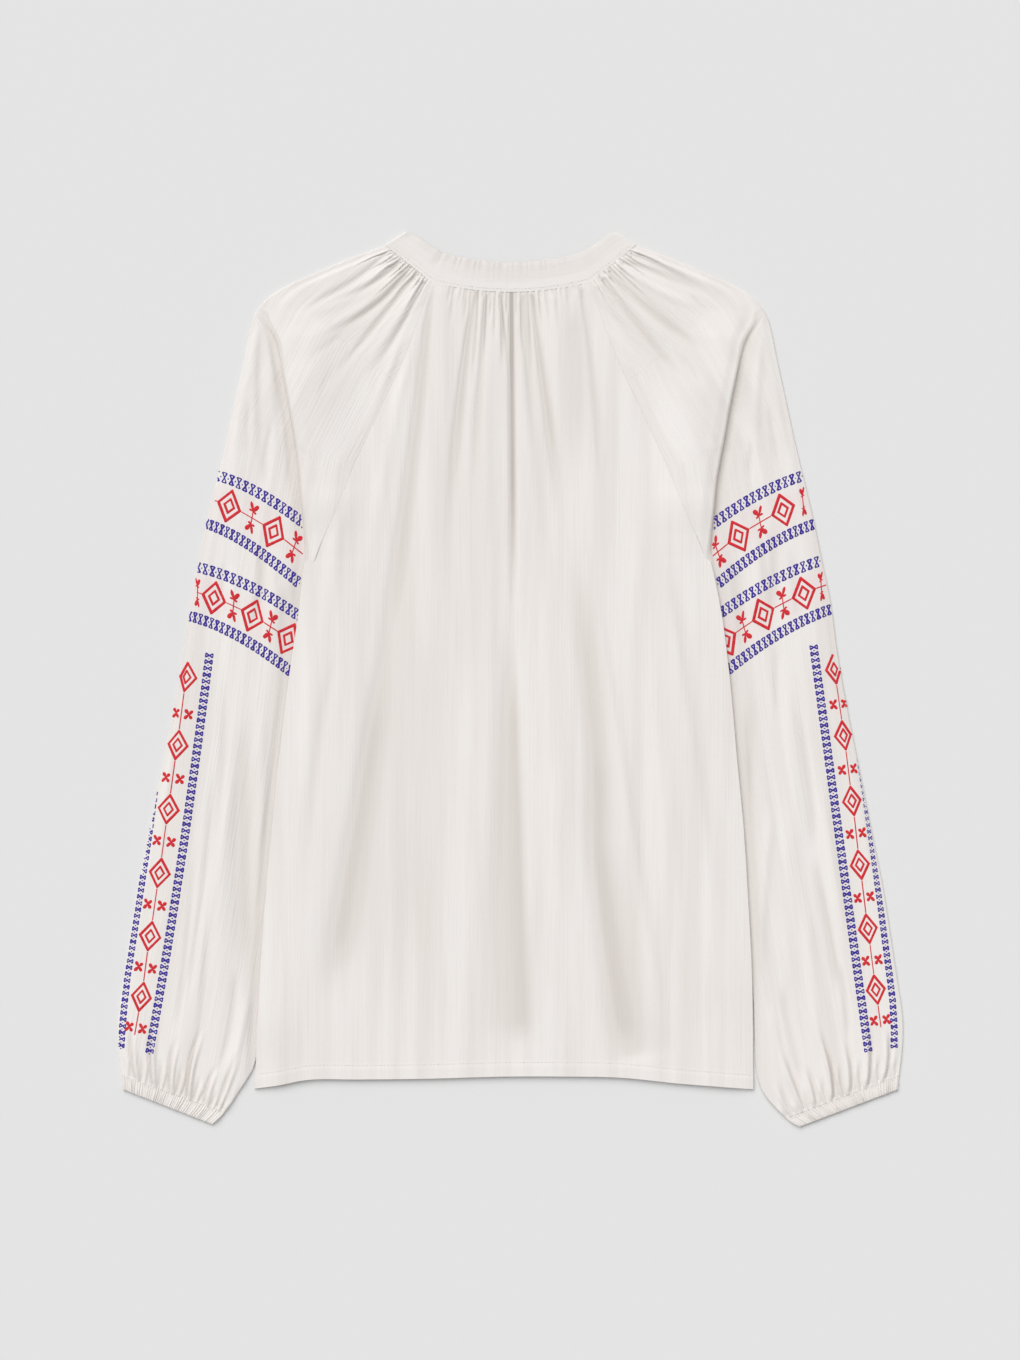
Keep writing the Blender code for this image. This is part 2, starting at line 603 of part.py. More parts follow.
def build_cuff(name, side):
    """A gathered elastic cuff: a flattened ring whose top layer is ribbed."""
    rows = []
    for share in np.linspace(0, 1, CUFF_ROWS + 1):
        inner, outer = arm_ends(CUFF_SEAM + share, side)
        if share == 0:
            inner_next, outer_next = arm_ends(CUFF_SEAM + 1, side)
            inner = inner + (inner_next - inner) * SEAM_GAP / math.dist(inner, inner_next)
            outer = outer + (outer_next - outer) * SEAM_GAP / math.dist(outer, outer_next)
        length = math.dist(inner, outer)
        along = (outer - inner) / length
        places = np.linspace(PAIR_REACH, length - PAIR_REACH, 2 * CUFF_RIBS + 1)
        plan = inner + np.outer(places, along)
        ribs = CUFF_RIB_HEIGHT * (np.arange(len(places)) % 2)
        back = np.column_stack([side * plan[:, 0], plan[:, 1], FLOOR_PAIR + HALF_PAIR + ribs])
        places = np.linspace(length - PAIR_REACH, PAIR_REACH, CUFF_UNDER_COLUMNS + 1)
        plan = inner + np.outer(places, along)
        front = np.column_stack([side * plan[:, 0], plan[:, 1], np.full(len(places), FLOOR_PAIR - HALF_PAIR)])
        outer_edge = edge_turn(back[-1], front[0], along, side)
        inner_edge = edge_turn(front[-1], back[0], -along, side)
        rows.append(np.array([*back, *outer_edge, *front, *inner_edge]))
    faces = grid_faces(len(rows), len(rows[0]), closed=True)
    return add_piece(name, np.concatenate(rows), faces, WALL, CUFF_COLOUR)


def band_row(table, neck, at, height, side=1):
    """One section across the neckband, from its seam edge to its free edge."""
    seam_x = read_row(table, "seam_x", at)
    seam = np.array([seam_x, float(neck_y(neck, seam_x))])
    free = np.array([read_row(table, "free_x", at), read_row(table, "free_y", at)])
    across = (free - seam) / math.dist(free, seam)
    seam = seam + across * NECK_GAP
    wave = read_row(table, "ripple", at) * math.sin(2 * math.pi * free[0] / BAND_RIPPLE_PITCH)
    free = free + across * wave
    plan = seam + np.outer(np.linspace(0, 1, BAND_COLUMNS + 1), free - seam)
    return np.column_stack([side * plan[:, 0], plan[:, 1], np.full(len(plan), height)])


def build_neckband():
    """One long strip: from the middle of the front, over the back, to the middle of the front again."""
    front_height = BAND_WALL / 2
    back_height = front_height + BAND_WALL + LAYER_GAP
    front_places = np.linspace(len(BAND_FRONT) - 1, 0, BAND_FRONT_ROWS + 1)
    back_places = np.linspace(0, len(BAND_BACK) - 1, BAND_BACK_ROWS + 1)
    radius = (back_height - front_height) / 2
    rows = [band_row(BAND_FRONT, FRONT_NECK, at, front_height, -1) for at in front_places]
    back = [band_row(BAND_BACK, BACK_NECK, at, back_height) for at in back_places]
    right = [band_row(BAND_FRONT, FRONT_NECK, at, front_height) for at in front_places[::-1]]
    for before, after in ((rows[-1], back[0]), (back[-1], right[0])):
        side = np.sign(before[0, 0])
        across = (before[-1] - before[0])[:2]
        outward = np.array([side * abs(across[1]), abs(across[0])]) / np.linalg.norm(across)
        turn = []
        for angle in np.linspace(0, math.pi, EDGE_STEPS + 1)[1:-1]:
            points = before + (after - before) * (1 - math.cos(angle)) / 2
            points[:, :2] += outward * radius * math.sin(angle)
            turn.append(points)
        rows = rows + turn + (back if side < 0 else right)
    points = np.concatenate(rows)
    faces = grid_faces(len(rows), BAND_COLUMNS + 1)
    return add_piece("neckband", points, faces, BAND_WALL, BAND_COLOUR)


def clear_scene():
    for obj in list(bpy.data.objects):
        bpy.data.objects.remove(obj, do_unlink=True)


clear_scene()
build_back()
build_front()
for piece_side, side_word in ((-1, "left"), (1, "right")):
    build_sleeve("sleeve_" + side_word, piece_side)
    build_cuff("cuff_" + side_word, piece_side)
build_neckband()
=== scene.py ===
"""Looks of an embroidered raglan blouse that lies flat with its back up: cloth, embroidery and sewing.

Sizes are millimetres unless a name says otherwise, and MM turns them into metres. The tables keep the CAD
model's own y, which MIDDLE_Y moves to the middle of the outline. Where a table serves both sides, x is the
distance out from the middle.
"""

import math
from collections import namedtuple

import bpy
import numpy as np
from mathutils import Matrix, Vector
from mathutils.bvhtree import BVHTree


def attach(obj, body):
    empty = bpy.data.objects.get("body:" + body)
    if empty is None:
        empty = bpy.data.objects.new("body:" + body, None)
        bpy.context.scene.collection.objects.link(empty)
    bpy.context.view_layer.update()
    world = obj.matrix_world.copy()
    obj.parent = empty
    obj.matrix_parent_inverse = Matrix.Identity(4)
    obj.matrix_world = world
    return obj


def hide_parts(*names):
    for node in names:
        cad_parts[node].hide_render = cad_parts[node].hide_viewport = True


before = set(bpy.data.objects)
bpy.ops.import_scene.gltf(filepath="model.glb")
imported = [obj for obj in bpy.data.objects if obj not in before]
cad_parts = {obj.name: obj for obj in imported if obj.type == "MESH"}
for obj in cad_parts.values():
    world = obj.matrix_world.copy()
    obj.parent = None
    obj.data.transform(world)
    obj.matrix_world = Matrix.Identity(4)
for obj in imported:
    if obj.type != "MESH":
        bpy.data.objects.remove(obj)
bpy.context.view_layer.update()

bl_info = {
    "name": "Embroidered blouse",
    "version": (1, 0, 0),
    "blender": (4, 5, 0),
    "location": "View3D > Sidebar > Blouse",
    "description": "Dresses the frame of an embroidered raglan blouse in cloth, thread and sewing",
    "category": "Object",
}

MM = 0.001
MIDDLE_Y = 0.31
BODY = "root"

# Walls of the CAD model, the gaps between them, and the pair of layers that a sleeve is where it lies flat
WALL = 1.0
BAND_WALL = 1.2
SEAM_GAP = 0.3
LAYER_GAP = 0.6
TURN_GAP = 0.5
HALF_PAIR = (WALL + LAYER_GAP) / 2
FLOOR_PAIR = WALL / 2 + HALF_PAIR
PAIR_REACH = HALF_PAIR + WALL / 2
PAIR_STEP = 2 * PAIR_REACH + TURN_GAP
FOLD_ARC = math.pi * PAIR_STEP / 2
STEP_TURN = math.radians(38)
ARMPIT_Y = 100.0
SHELF_SLOPE = 48.0
RIM = 6.0
LEAST_TUCK = 0.4

# Lengths of cloth that rows and columns are spread over, and the lengths where rows lie closer together
PANEL_WIDTH = 430
SLEEVE_TOP_WIDTH = 150
SLEEVE_UNDER_WIDTH = 90
HEAD_LENGTH = 240
ARM_LENGTH = 320
NEAR_NECK = 40
NEAR_HEM = 20
NEAR_CUFF = 50

# Points round the fold beside the armhole and round a sleeve's edge, and the rows and columns of the edges
PLEAT_STEPS = 8
TURN_STEPS = 6
BAND_COLUMNS = 13
BAND_BACK_ROWS = 260
BAND_FRONT_ROWS = 60
BAND_HEIGHT = 25
CUFF_ROWS = 15
CUFF_OVERLAP = 0.14
RIB_POINTS = 8
CUFF_FRONT_POINTS = 49

# Narrow faces along seams and edges, which keep their shading crisp, and the form and painted shade of the
# seams
EDGE_FACE = 0.3
EDGE_SHARE = 0.0012
SEAM_ROLL = 0.05
SEAM_LOFT = 0.9
SEAM_SHADE = 0.12
SEAM_FADE = 14
LEAST_LOFT = 0.08

# The turned hem, the stitches of the sewing, the neckband's ripples and notch, and the ribs of the cuffs
HEM_DEPTH = 12.0
HEM_RISE = 0.45
HEM_GROOVE = 0.3
STITCH = 2.1
STITCH_GAP = 0.9
STITCH_WIDTH = 0.5
BAND_RIPPLE_PITCH = 14.0
NOTCH_X = -57.0
NOTCH_DEPTH = 2.2
NOTCH_WIDTH = 2.4
CUFF_RIBS = 46
CASING_SEAM_ROW = 3

# The line on which the top cloth ends at a side. Above the armpit the sleeve turns under there, by the angle
# turn, runs on by tuck and turns back out. Below it the lifts say how far the body is raised over the arm.
SideLine = namedtuple("SideLine", "y left_x right_x turn tuck left_lift right_lift shelf")
SIDE_LINE = [
    SideLine(364, 102.5, 102.5, 0, 0, 0, 0, 18),
    SideLine(350, 136.0, 136.0, 0, 0, 0, 0, 18),
    SideLine(330, 181.0, 182.0, 0, 0, 0, 0, 18),
    SideLine(310, 202.0, 203.0, 0, 0, 0, 0, 18),
    SideLine(287, 197.0, 197.5, 38, 0, 0, 0, 18),
    SideLine(268, 193.3, 193.0, 95, 0, 0, 0, 20),
    SideLine(251, 190.0, 189.0, 150, 1, 0, 0, 20),
    SideLine(228, 185.9, 184.3, 180, 4, 0, 0, 20),
    SideLine(206, 182.0, 180.5, 180, 8, 0, 0, 21),
    SideLine(160, 176.5, 172.5, 180, 7, 0, 0, 21),
    SideLine(143, 175.0, 171.0, 155, 2, 0, 0, 21),
    SideLine(122, 173.5, 169.2, 90, 0, 0, 0, 22),
    SideLine(100, 173.0, 168.5, 38, 0, 1, 1, 24),
    SideLine(85, 175.0, 171.7, 0, 0, 1, 1, 27),
    SideLine(58, 178.0, 177.0, 0, 0, 1, 1, 30),
    SideLine(0, 186.5, 184.5, 0, 0, 1, 1, 33),
    SideLine(-70, 195.0, 190.8, 0, 0, 1, 1, 33),
    SideLine(-124, 200.5, 196.0, 0, 0, 1, 1, 32),
    SideLine(-178, 205.5, 199.5, 0, 0, 1, 1, 28),
    SideLine(-252, 210.6, 203.2, 0, 0, 1, 1, 20),
    SideLine(-290, 212.6, 204.0, 0, 0, 1, 0.4, 14),
    SideLine(-320, 214.0, 204.2, 0, 0, 0.35, 0.15, 12),
    SideLine(-345, 215.5, 204.3, 0, 0, 0.1, 0.1, 10),
]

# The raglan seam, the same on both sides, and the hem
Seam = namedtuple("Seam", "y x")
RAGLAN = [
    Seam(333, 66), Seam(316, 72), Seam(294, 80), Seam(273, 88), Seam(254, 96), Seam(238, 104), Seam(218, 113),
    Seam(195, 124), Seam(167, 136), Seam(137, 148), Seam(113, 159), Seam(100, 164),
]
HEM = [
    Seam(-344.0, -216), Seam(-341.0, -195), Seam(-337.0, -175), Seam(-336.0, -126),
    Seam(-335.5, -76), Seam(-333.5, 0), Seam(-333.5, 42), Seam(-334.5, 92),
    Seam(-339.5, 142), Seam(-342.5, 180), Seam(-344.5, 205),
]
HEM_Y = -344.0

# The grain of a sleeve's cloth, from the neck to the cuff
GRAIN = [
    Seam(348, 84), Seam(290, 150), Seam(200, 196), Seam(90, 215),
    Seam(-50, 232), Seam(-200, 255), Seam(-345, 281),
]
GRAIN_LENGTH = 740.0

# Sections of a sleeve, from the neck to the armpit and on to the cuff
Head = namedtuple("Head", "outer_x outer_y inner_y front_y")
HEAD = [
    Head(105.0, 364.0, 333, 300),
    Head(109.0, 362.7, 327, 296),
    Head(121.0, 358.5, 316, 290),
    Head(143.0, 350.0, 294, 279),
    Head(166.0, 340.0, 273, 266),
    Head(190.0, 329.0, 254, 252),
    Head(207.0, 317.0, 238, 238),
    Head(217.0, 300.0, 218, 218),
    Head(224.0, 268.0, 195, 195),
    Head(231.0, 236.0, 167, 167),
    Head(239.0, 199.0, 137, 137),
    Head(246.0, 170.0, 113, 113),
    Head(252.0, 145.0, 100, 100),
]
Arm = namedtuple("Arm", "outer_x outer_y left_x left_y right_x right_y")
ARM = [
    Arm(255.0, 133.0, 170.0, 84, 167.0, 84),
    Arm(262.0, 98.0, 168, 52, 166, 52),
    Arm(268.5, 67.0, 161, 14, 160, 14),
    Arm(275.5, 17.0, 163, -40, 162, -40),
    Arm(284.0, -30.0, 170, -88, 169, -88),
    Arm(294.0, -80.0, 180, -135, 178, -135),
    Arm(304.0, -130.0, 189, -180, 187, -180),
    Arm(313.0, -175.0, 199, -222, 197, -219),
    Arm(320.0, -220.0, 205, -264, 203, -262),
    Arm(325.0, -253.0, 210, -297, 204.8, -297),
    Arm(329.5, -285.0, 215, -325, 206, -326),
    Arm(329.0, -312.0, 226, -344.5, 212, -348),
    Arm(326.5, -333.0, 239.5, -364, 231, -369),
    Arm(325.5, -344.5, 250, -374, 242.5, -376),
]
CUFF_SEAM = len(ARM) - 2

# The neckband: where its sections start on the neck seam, where they end, and how much the free edge ripples
Band = namedtuple("Band", "seam_x free_x free_y ripple")
BAND_BACK = [
    Band(-104.5, -85.7, 375.6, 0),
    Band(-97.0, -76.0, 369.5, 0),
    Band(-84.0, -64.0, 362.0, 0),
    Band(-66.0, -53.0, 357.0, 0.5),
    Band(-45.0, -38.0, 353.0, 0.9),
    Band(-22.0, -20.0, 350.5, 0.9),
    Band(0.0, 0.0, 349.5, 0.9),
    Band(22.0, 20.0, 350.7, 0.9),
    Band(45.0, 42.0, 353.5, 0.5),
    Band(66.0, 58.0, 358.0, 0),
    Band(84.0, 70.0, 364.5, 0),
    Band(97.0, 79.5, 371.5, 0),
    Band(104.5, 86.0, 375.6, 0),
]
BAND_FRONT = [
    Band(104.5, 85.8, 375.6, 0),
    Band(95.7, 74.0, 352.0, 0),
    Band(86.0, 63.0, 328.0, 0),
    Band(77.8, 54.0, 309.0, 0),
    Band(60.0, 40.0, 293.0, 0),
    Band(32.0, 22.0, 285.0, 0),
    Band(0.8, 0.8, 282.0, 0),
]
# The neck seams of the panels, and how far the middle of the back is drawn together at its seam
Neck = namedtuple("Neck", "side_x side_y middle_y")
BACK_NECK = Neck(66.0, 333.0, 324.7)
FRONT_NECK = Neck(77.6, 300.0, 257.2)
NECK_SPREAD = 0.8
SLIT_LENGTH = 170.0
SLIT_WIDTH = 1.2

# Creases: a ridge, or a trough where height is below zero, through three points. start and end are its
# widths, lean makes one flank steeper, and it comes and goes over the shares grow and fade of its length.
Crease = namedtuple("Crease", "x0 y0 x1 y1 x2 y2 start end height lean grow fade")
BACK_CREASES = [
    Crease(-67, 330, -84, 171, -116, -51, 3, 11, -2.0, 0.2, 0.0, 0.35),
    Crease(-99, 54, -124, -102, -156, -285, 10, 16, -2.2, 0.3, 0.35, 0.2),
    Crease(-76, 318, -107, 167, -147, -68, 3, 10, 1.0, 0.0, 0.1, 0.5),
    Crease(-29, 326, -42, 234, -55, 75, 1.8, 7, -2.2, 0.2, 0.0, 0.5),
    Crease(-59, 75, -72, -93, -72, -278, 16, 22, -0.9, 0.0, 0.3, 0.3),
    Crease(-20, 323, -26, 234, -34, 100, 1.5, 6, -1.7, 0.0, 0.0, 0.5),
    Crease(-24, 318, -19, 33, -27, -270, 4, 13, 1.3, 0.0, 0.2, 0.3),
    Crease(0, 325, 1, 209, 2, 16, 2.0, 3.2, -4.4, 0.3, 0.0, 0.4),
    Crease(2, 66, 6, -118, 13, -328, 5, 18, -2.2, -0.5, 0.3, 0.1),
    Crease(-9, 323, -5, 293, 0, 251, 1.3, 2, -2.0, 0.0, 0.0, 0.4),
    Crease(11, 323, 16, 243, 25, 100, 1.6, 6, -1.5, 0.0, 0.0, 0.5),
    Crease(17, 323, 31, 226, 47, 100, 1.8, 7, -2.3, 0.2, 0.0, 0.5),
    Crease(8, 293, 32, 33, 47, -270, 3, 14, 1.2, 0.0, 0.2, 0.3),
    Crease(53, 318, 57, 234, 52, 134, 8, 14, -1.3, 0.0, 0.2, 0.5),
    Crease(59, 327, 70, 234, 78, 134, 1.8, 5, -1.6, 0.5, 0.0, 0.5),
    Crease(50, 134, 67, -18, 80, -150, 10, 12, -2.0, 0.3, 0.4, 0.3),
    Crease(64, -50, 80, -200, 101, -326, 9, 19, -2.4, 0.3, 0.35, 0.05),
    Crease(68, 100, 97, -102, 132, -325, 4, 7, 1.6, 0.0, 0.3, 0.1),
    Crease(132, 100, 152, -18, 191, -270, 4, 9, -1.0, 0.3, 0.3, 0.4),
    Crease(109, 66, 126, -85, 151, -270, 8, 14, 0.9, 0.0, 0.3, 0.3),
    Crease(-135, 167, -158, 33, -180, -186, 6, 10, 0.9, 0.0, 0.3, 0.4),
    Crease(-143, 33, -162, -68, -177, -236, 4, 7, -0.7, 0.0, 0.3, 0.4),
]
LEFT_CREASES = [
    Crease(-102, 360, -133, 333, -167, 317, 1.8, 4, -1.2, 0.0, 0.0, 0.5),
    Crease(-92, 350, -125, 327, -174, 308, 1.8, 4, -1.5, 0.0, 0.0, 0.5),
    Crease(-96, 355, -135, 322, -185, 303, 2, 6, 1.2, 0.0, 0.0, 0.5),
    Crease(-84, 346, -115, 312, -167, 284, 1.8, 4, -1.6, 0.0, 0.0, 0.4),
    Crease(-89, 349, -120, 313, -177, 281, 2, 6, 1.2, 0.0, 0.0, 0.4),
    Crease(-79, 340, -105, 308, -151, 249, 1.6, 3, -2.2, 0.2, 0.0, 0.4),
    Crease(-74, 337, -100, 293, -143, 234, 2, 6, 1.3, 0.0, 0.0, 0.5),
    Crease(-73, 333, -94, 291, -121, 251, 1.5, 3, -1.0, 0.0, 0.0, 0.5),
    Crease(-135, 332, -152, 322, -177, 307, 1.5, 2.5, -0.9, 0.0, 0.2, 0.5),
    Crease(-143, 268, -156, 247, -162, 234, 3, 4, -0.7, 0.0, 0.3, 0.5),
    Crease(-139, 293, -158, 276, -177, 266, 2.5, 3, -0.6, 0.0, 0.3, 0.5),
    Crease(-89, 293, -113, 224, -133, 172, 3, 5, 1.2, 0.0, 0.2, 0.5),
    Crease(-208, 303, -211, 234, -207, 162, 3, 3, -1.3, 0.0, 0.3, 0.4),
    Crease(-218, 234, -221, 209, -219, 179, 2, 2, -1.0, 0.0, 0.3, 0.4),
    Crease(-197, 226, -205, 188, -205, 155, 2, 3, -1.2, 0.0, 0.3, 0.3),
    Crease(-202, 293, -200, 234, -196, 167, 4, 4, 1.2, 0.0, 0.3, 0.4),
    Crease(-189, 234, -186, 192, -184, 150, 2, 2.5, -1.1, 0.0, 0.3, 0.3),
    Crease(-179, 201, -178, 176, -174, 142, 2, 3, -1.2, 0.0, 0.3, 0.3),
    Crease(-227, 251, -231, 201, -229, 134, 4, 5, 0.9, 0.0, 0.3, 0.4),
    Crease(-212, 117, -210, 75, -221, 31, 3, 4, -1.8, 0.3, 0.3, 0.4),
    Crease(-202, 117, -199, 66, -204, 16, 4, 5, 1.4, 0.0, 0.3, 0.4),
    Crease(-231, 100, -234, 50, -237, -18, 4, 6, 0.9, 0.0, 0.3, 0.4),
    Crease(-241, 100, -242, 75, -249, 33, 2, 2, -0.8, 0.0, 0.3, 0.4),
    Crease(-190, 83, -189, 41, -194, -18, 3, 4, -1.2, 0.0, 0.3, 0.4),
    Crease(-239, -1, -242, -85, -254, -186, 3, 5, -1.0, 0.0, 0.3, 0.4),
    Crease(-221, -18, -225, -144, -220, -278, 7, 9, -1.9, 0.0, 0.3, 0.3),
    Crease(-237, -68, -242, -160, -249, -278, 6, 8, 1.4, 0.0, 0.3, 0.3),
    Crease(-249, -68, -257, -169, -273, -278, 3, 3, -1.1, 0.0, 0.3, 0.2),
    Crease(-264, -135, -271, -219, -281, -303, 3, 3, -0.9, 0.0, 0.3, 0.2),
    Crease(-257, -186, -261, -253, -269, -320, 3, 4, 1.2, 0.0, 0.3, 0.3),
    Crease(-231, -236, -234, -286, -247, -337, 4, 3, -1.2, 0.0, 0.3, 0.3),
    Crease(-222, -261, -227, -303, -242, -349, 4, 3, 1.2, 0.0, 0.3, 0.3),
    Crease(-209, -18, -209, -85, -212, -186, 4, 5, 1.0, 0.0, 0.3, 0.4),
    Crease(-283, -18, -289, -102, -303, -219, 3, 3, 0.6, 0.0, 0.3, 0.3),
]
RIGHT_CREASES = [
    Crease(101, 357, 132, 343, 169, 321, 1.8, 4, -1.2, 0.0, 0.0, 0.5),
    Crease(94, 350, 129, 338, 173, 318, 1.8, 4, -1.4, 0.0, 0.0, 0.5),
    Crease(105, 359, 151, 339, 189, 318, 2.5, 6, 1.1, 0.0, 0.0, 0.5),
    Crease(89, 349, 126, 325, 171, 308, 2, 5, 1.1, 0.0, 0.0, 0.5),
    Crease(83, 342, 117, 308, 169, 270, 1.8, 4, -1.7, 0.0, 0.0, 0.4),
    Crease(80, 339, 114, 300, 159, 258, 2, 6, 1.2, 0.0, 0.0, 0.5),
    Crease(77, 335, 109, 293, 151, 243, 1.6, 3, -2.2, 0.2, 0.0, 0.4),
    Crease(74, 332, 100, 291, 132, 241, 2, 6, 1.2, 0.0, 0.0, 0.5),
    Crease(72, 328, 79, 302, 100, 260, 1.5, 3, -1.0, 0.0, 0.0, 0.5),
    Crease(151, 322, 159, 314, 168, 303, 1.5, 2, -0.8, 0.0, 0.2, 0.5),
    Crease(142, 275, 152, 258, 161, 246, 2, 2.5, -0.7, 0.0, 0.3, 0.5),
    Crease(85, 293, 109, 234, 136, 176, 3, 6, 1.1, 0.0, 0.2, 0.5),
    Crease(199, 302, 191, 260, 188, 201, 6, 8, -1.3, 0.0, 0.2, 0.4),
    Crease(212, 302, 206, 234, 207, 176, 4, 4, 1.2, 0.0, 0.3, 0.4),
    Crease(203, 201, 201, 184, 201, 164, 1.6, 2, -1.1, 0.0, 0.3, 0.3),
    Crease(216, 234, 221, 201, 225, 172, 2, 2.5, -1.1, 0.0, 0.3, 0.4),
    Crease(226, 251, 231, 218, 235, 182, 2.5, 3, -0.9, 0.0, 0.3, 0.4),
    Crease(223, 293, 231, 251, 241, 201, 4, 4, 0.9, 0.0, 0.3, 0.4),
    Crease(220, 134, 221, 83, 216, 33, 3, 5, -1.6, 0.3, 0.3, 0.4),
    Crease(208, 134, 208, 83, 203, 33, 4, 5, 1.2, 0.0, 0.3, 0.4),
    Crease(235, 117, 240, 75, 243, 33, 3, 4, -0.8, 0.0, 0.3, 0.4),
    Crease(188, 100, 193, 58, 196, -1, 5, 5, -1.2, 0.0, 0.3, 0.4),
    Crease(231, 24, 236, -68, 243, -169, 5, 8, 1.3, 0.0, 0.3, 0.3),
    Crease(225, 33, 223, -1, 226, -51, 2.5, 3, -0.9, 0.0, 0.3, 0.4),
    Crease(240, -9, 252, -93, 256, -152, 3.5, 4, -1.4, -0.3, 0.3, 0.3),
    Crease(255, -144, 268, -211, 278, -270, 3.5, 3.5, -2.0, -0.3, 0.3, 0.3),
    Crease(275, -236, 281, -270, 284, -317, 2.5, 2.5, -1.4, 0.0, 0.3, 0.3),
    Crease(260, -68, 270, -152, 284, -236, 4, 4, 1.2, 0.0, 0.3, 0.3),
    Crease(204, -9, 199, -102, 201, -211, 6, 6, -1.6, 0.0, 0.3, 0.2),
    Crease(220, -102, 213, -169, 208, -253, 4, 5, 1.3, 0.0, 0.3, 0.3),
    Crease(230, -102, 233, -186, 240, -270, 9, 10, 1.3, 0.0, 0.3, 0.3),
    Crease(248, -186, 253, -253, 262, -320, 5, 4, 1.0, 0.0, 0.3, 0.3),
    Crease(228, -253, 235, -295, 247, -345, 4, 3, -1.2, 0.0, 0.3, 0.2),
    Crease(216, -270, 225, -312, 238, -354, 4, 3, 1.2, 0.0, 0.3, 0.3),
]
SLEEVE_CREASES = {-1: LEFT_CREASES, 1: RIGHT_CREASES}

# Small gathers under the neckband: where each starts on the seam, how far it drifts and how long it is
Gather = namedtuple("Gather", "x drift length width depth")
NECK_GATHERS = [
    Gather(-47, -4, 40, 1.3, 0.9), Gather(-36, -3, 34, 1.0, 1.2), Gather(-33, -2, 24, 0.9, 1.3),
    Gather(-27, -5, 90, 1.1, 2.2), Gather(-20, -3, 64, 1.0, 2.0), Gather(-16, -1, 30, 0.9, 1.6),
    Gather(-13, 0, 46, 0.9, 1.8), Gather(-7, 1, 74, 1.0, 2.2), Gather(-3, 0, 26, 0.8, 1.8),
    Gather(1, 0, 96, 1.1, 2.4), Gather(4.5, 1, 30, 0.8, 1.6), Gather(8.5, 3, 60, 0.9, 1.8),
    Gather(14, 5, 82, 1.1, 2.2), Gather(19, 3, 26, 0.9, 1.2), Gather(24, 4, 40, 1.0, 1.2),
    Gather(31, 3, 34, 1.2, 1.0), Gather(38, 4, 44, 1.4, 0.9), Gather(47, 4, 30, 1.2, 0.8),
]
SMALL_NECK_GATHERS = 38

# Uneven lengths and depths of the gathers of a sleeve's head and of its cuff
HEAD_GATHERS = [
    (14, 0.9), (24, 1.2), (11, 0.8), (38, 1.3), (15, 1.0), (20, 1.1), (12, 0.8), (46, 1.3), (18, 1.0),
    (28, 1.2), (13, 0.8), (22, 1.1), (52, 1.4), (14, 0.9), (26, 1.2), (12, 0.8), (34, 1.2), (17, 1.0),
    (22, 1.0), (13, 0.8), (30, 1.2), (12, 0.8), (42, 1.2), (16, 0.9), (24, 1.0), (12, 0.8),
]
CUFF_GATHERS = [
    (18, 1.0), (34, 1.5), (14, 0.9), (56, 2.2), (18, 1.0), (38, 2.2), (14, 1.0), (24, 1.5), (66, 3.4),
    (18, 1.0), (30, 1.5), (50, 2.8), (17, 1.1), (28, 1.7), (64, 3.2), (16, 1.0), (26, 1.5), (48, 2.6),
    (16, 1.0), (22, 1.2),
]

# Embroidery. Each arm band and each stripe runs along a curve through three points of the plan.
ArmBand = namedtuple("ArmBand", "side x0 y0 x1 y1 x2 y2 first_motif pitch diamonds edge_sprig")
ARM_BANDS = [
    ArmBand(-1, -248.2, 149.8, -214.6, 134.0, -175.1, 105.6, 13.2, 43.0, 2, 0),
    ArmBand(-1, -263.3, 72.7, -223.0, 56.7, -180.0, 29.0, 15.3, 35.6, 3, 0.8),
    ArmBand(1, 250.3, 150.4, 210.8, 132.5, 171.4, 104.8, 23.4, 43.4, 2, 5.2),
    ArmBand(1, 265.0, 79.0, 222.6, 60.4, 178.0, 30.6, 20.3, 38.4, 3, 4.5),
]
Stripe = namedtuple("Stripe", "side x0 y0 x1 y1 x2 y2")
STRIPES = [
    Stripe(-1, -252.4, 21.8, -276.8, -156.2, -303.3, -315.4),
    Stripe(1, 254.1, 28.6, 278.9, -156.2, 300.3, -312.5),
]
# Motifs of a stripe: where its diamond and flowers lie, how far out its middle is, and its half widths
Motif = namedtuple("Motif", "diamond flowers middle inner outer")
STRIPE_MOTIFS = {
    -1: [
        Motif(22.4, 53.5, 17.1, 8.6, 4.8), Motif(80.0, 108.3, 17.0, 8.6, 7.4),
        Motif(134.5, 161.8, 17.0, 8.6, 8.1), Motif(188.7, 216.0, 16.5, 8.6, 7.9),
        Motif(242.5, 269.3, 16.0, 8.5, 8.4), Motif(294.0, 320.5, 14.8, 7.9, 7.8),
    ],
    1: [
        Motif(22.5, 52.0, 14.9, 7.0, 5.4), Motif(78.6, 107.3, 15.3, 7.4, 5.9),
        Motif(134.0, 161.5, 14.9, 7.6, 6.9), Motif(187.9, 215.5, 14.0, 7.4, 7.6),
        Motif(242.0, 268.8, 13.5, 7.4, 7.4), Motif(293.6, 319.5, 13.2, 7.4, 7.4),
    ],
}
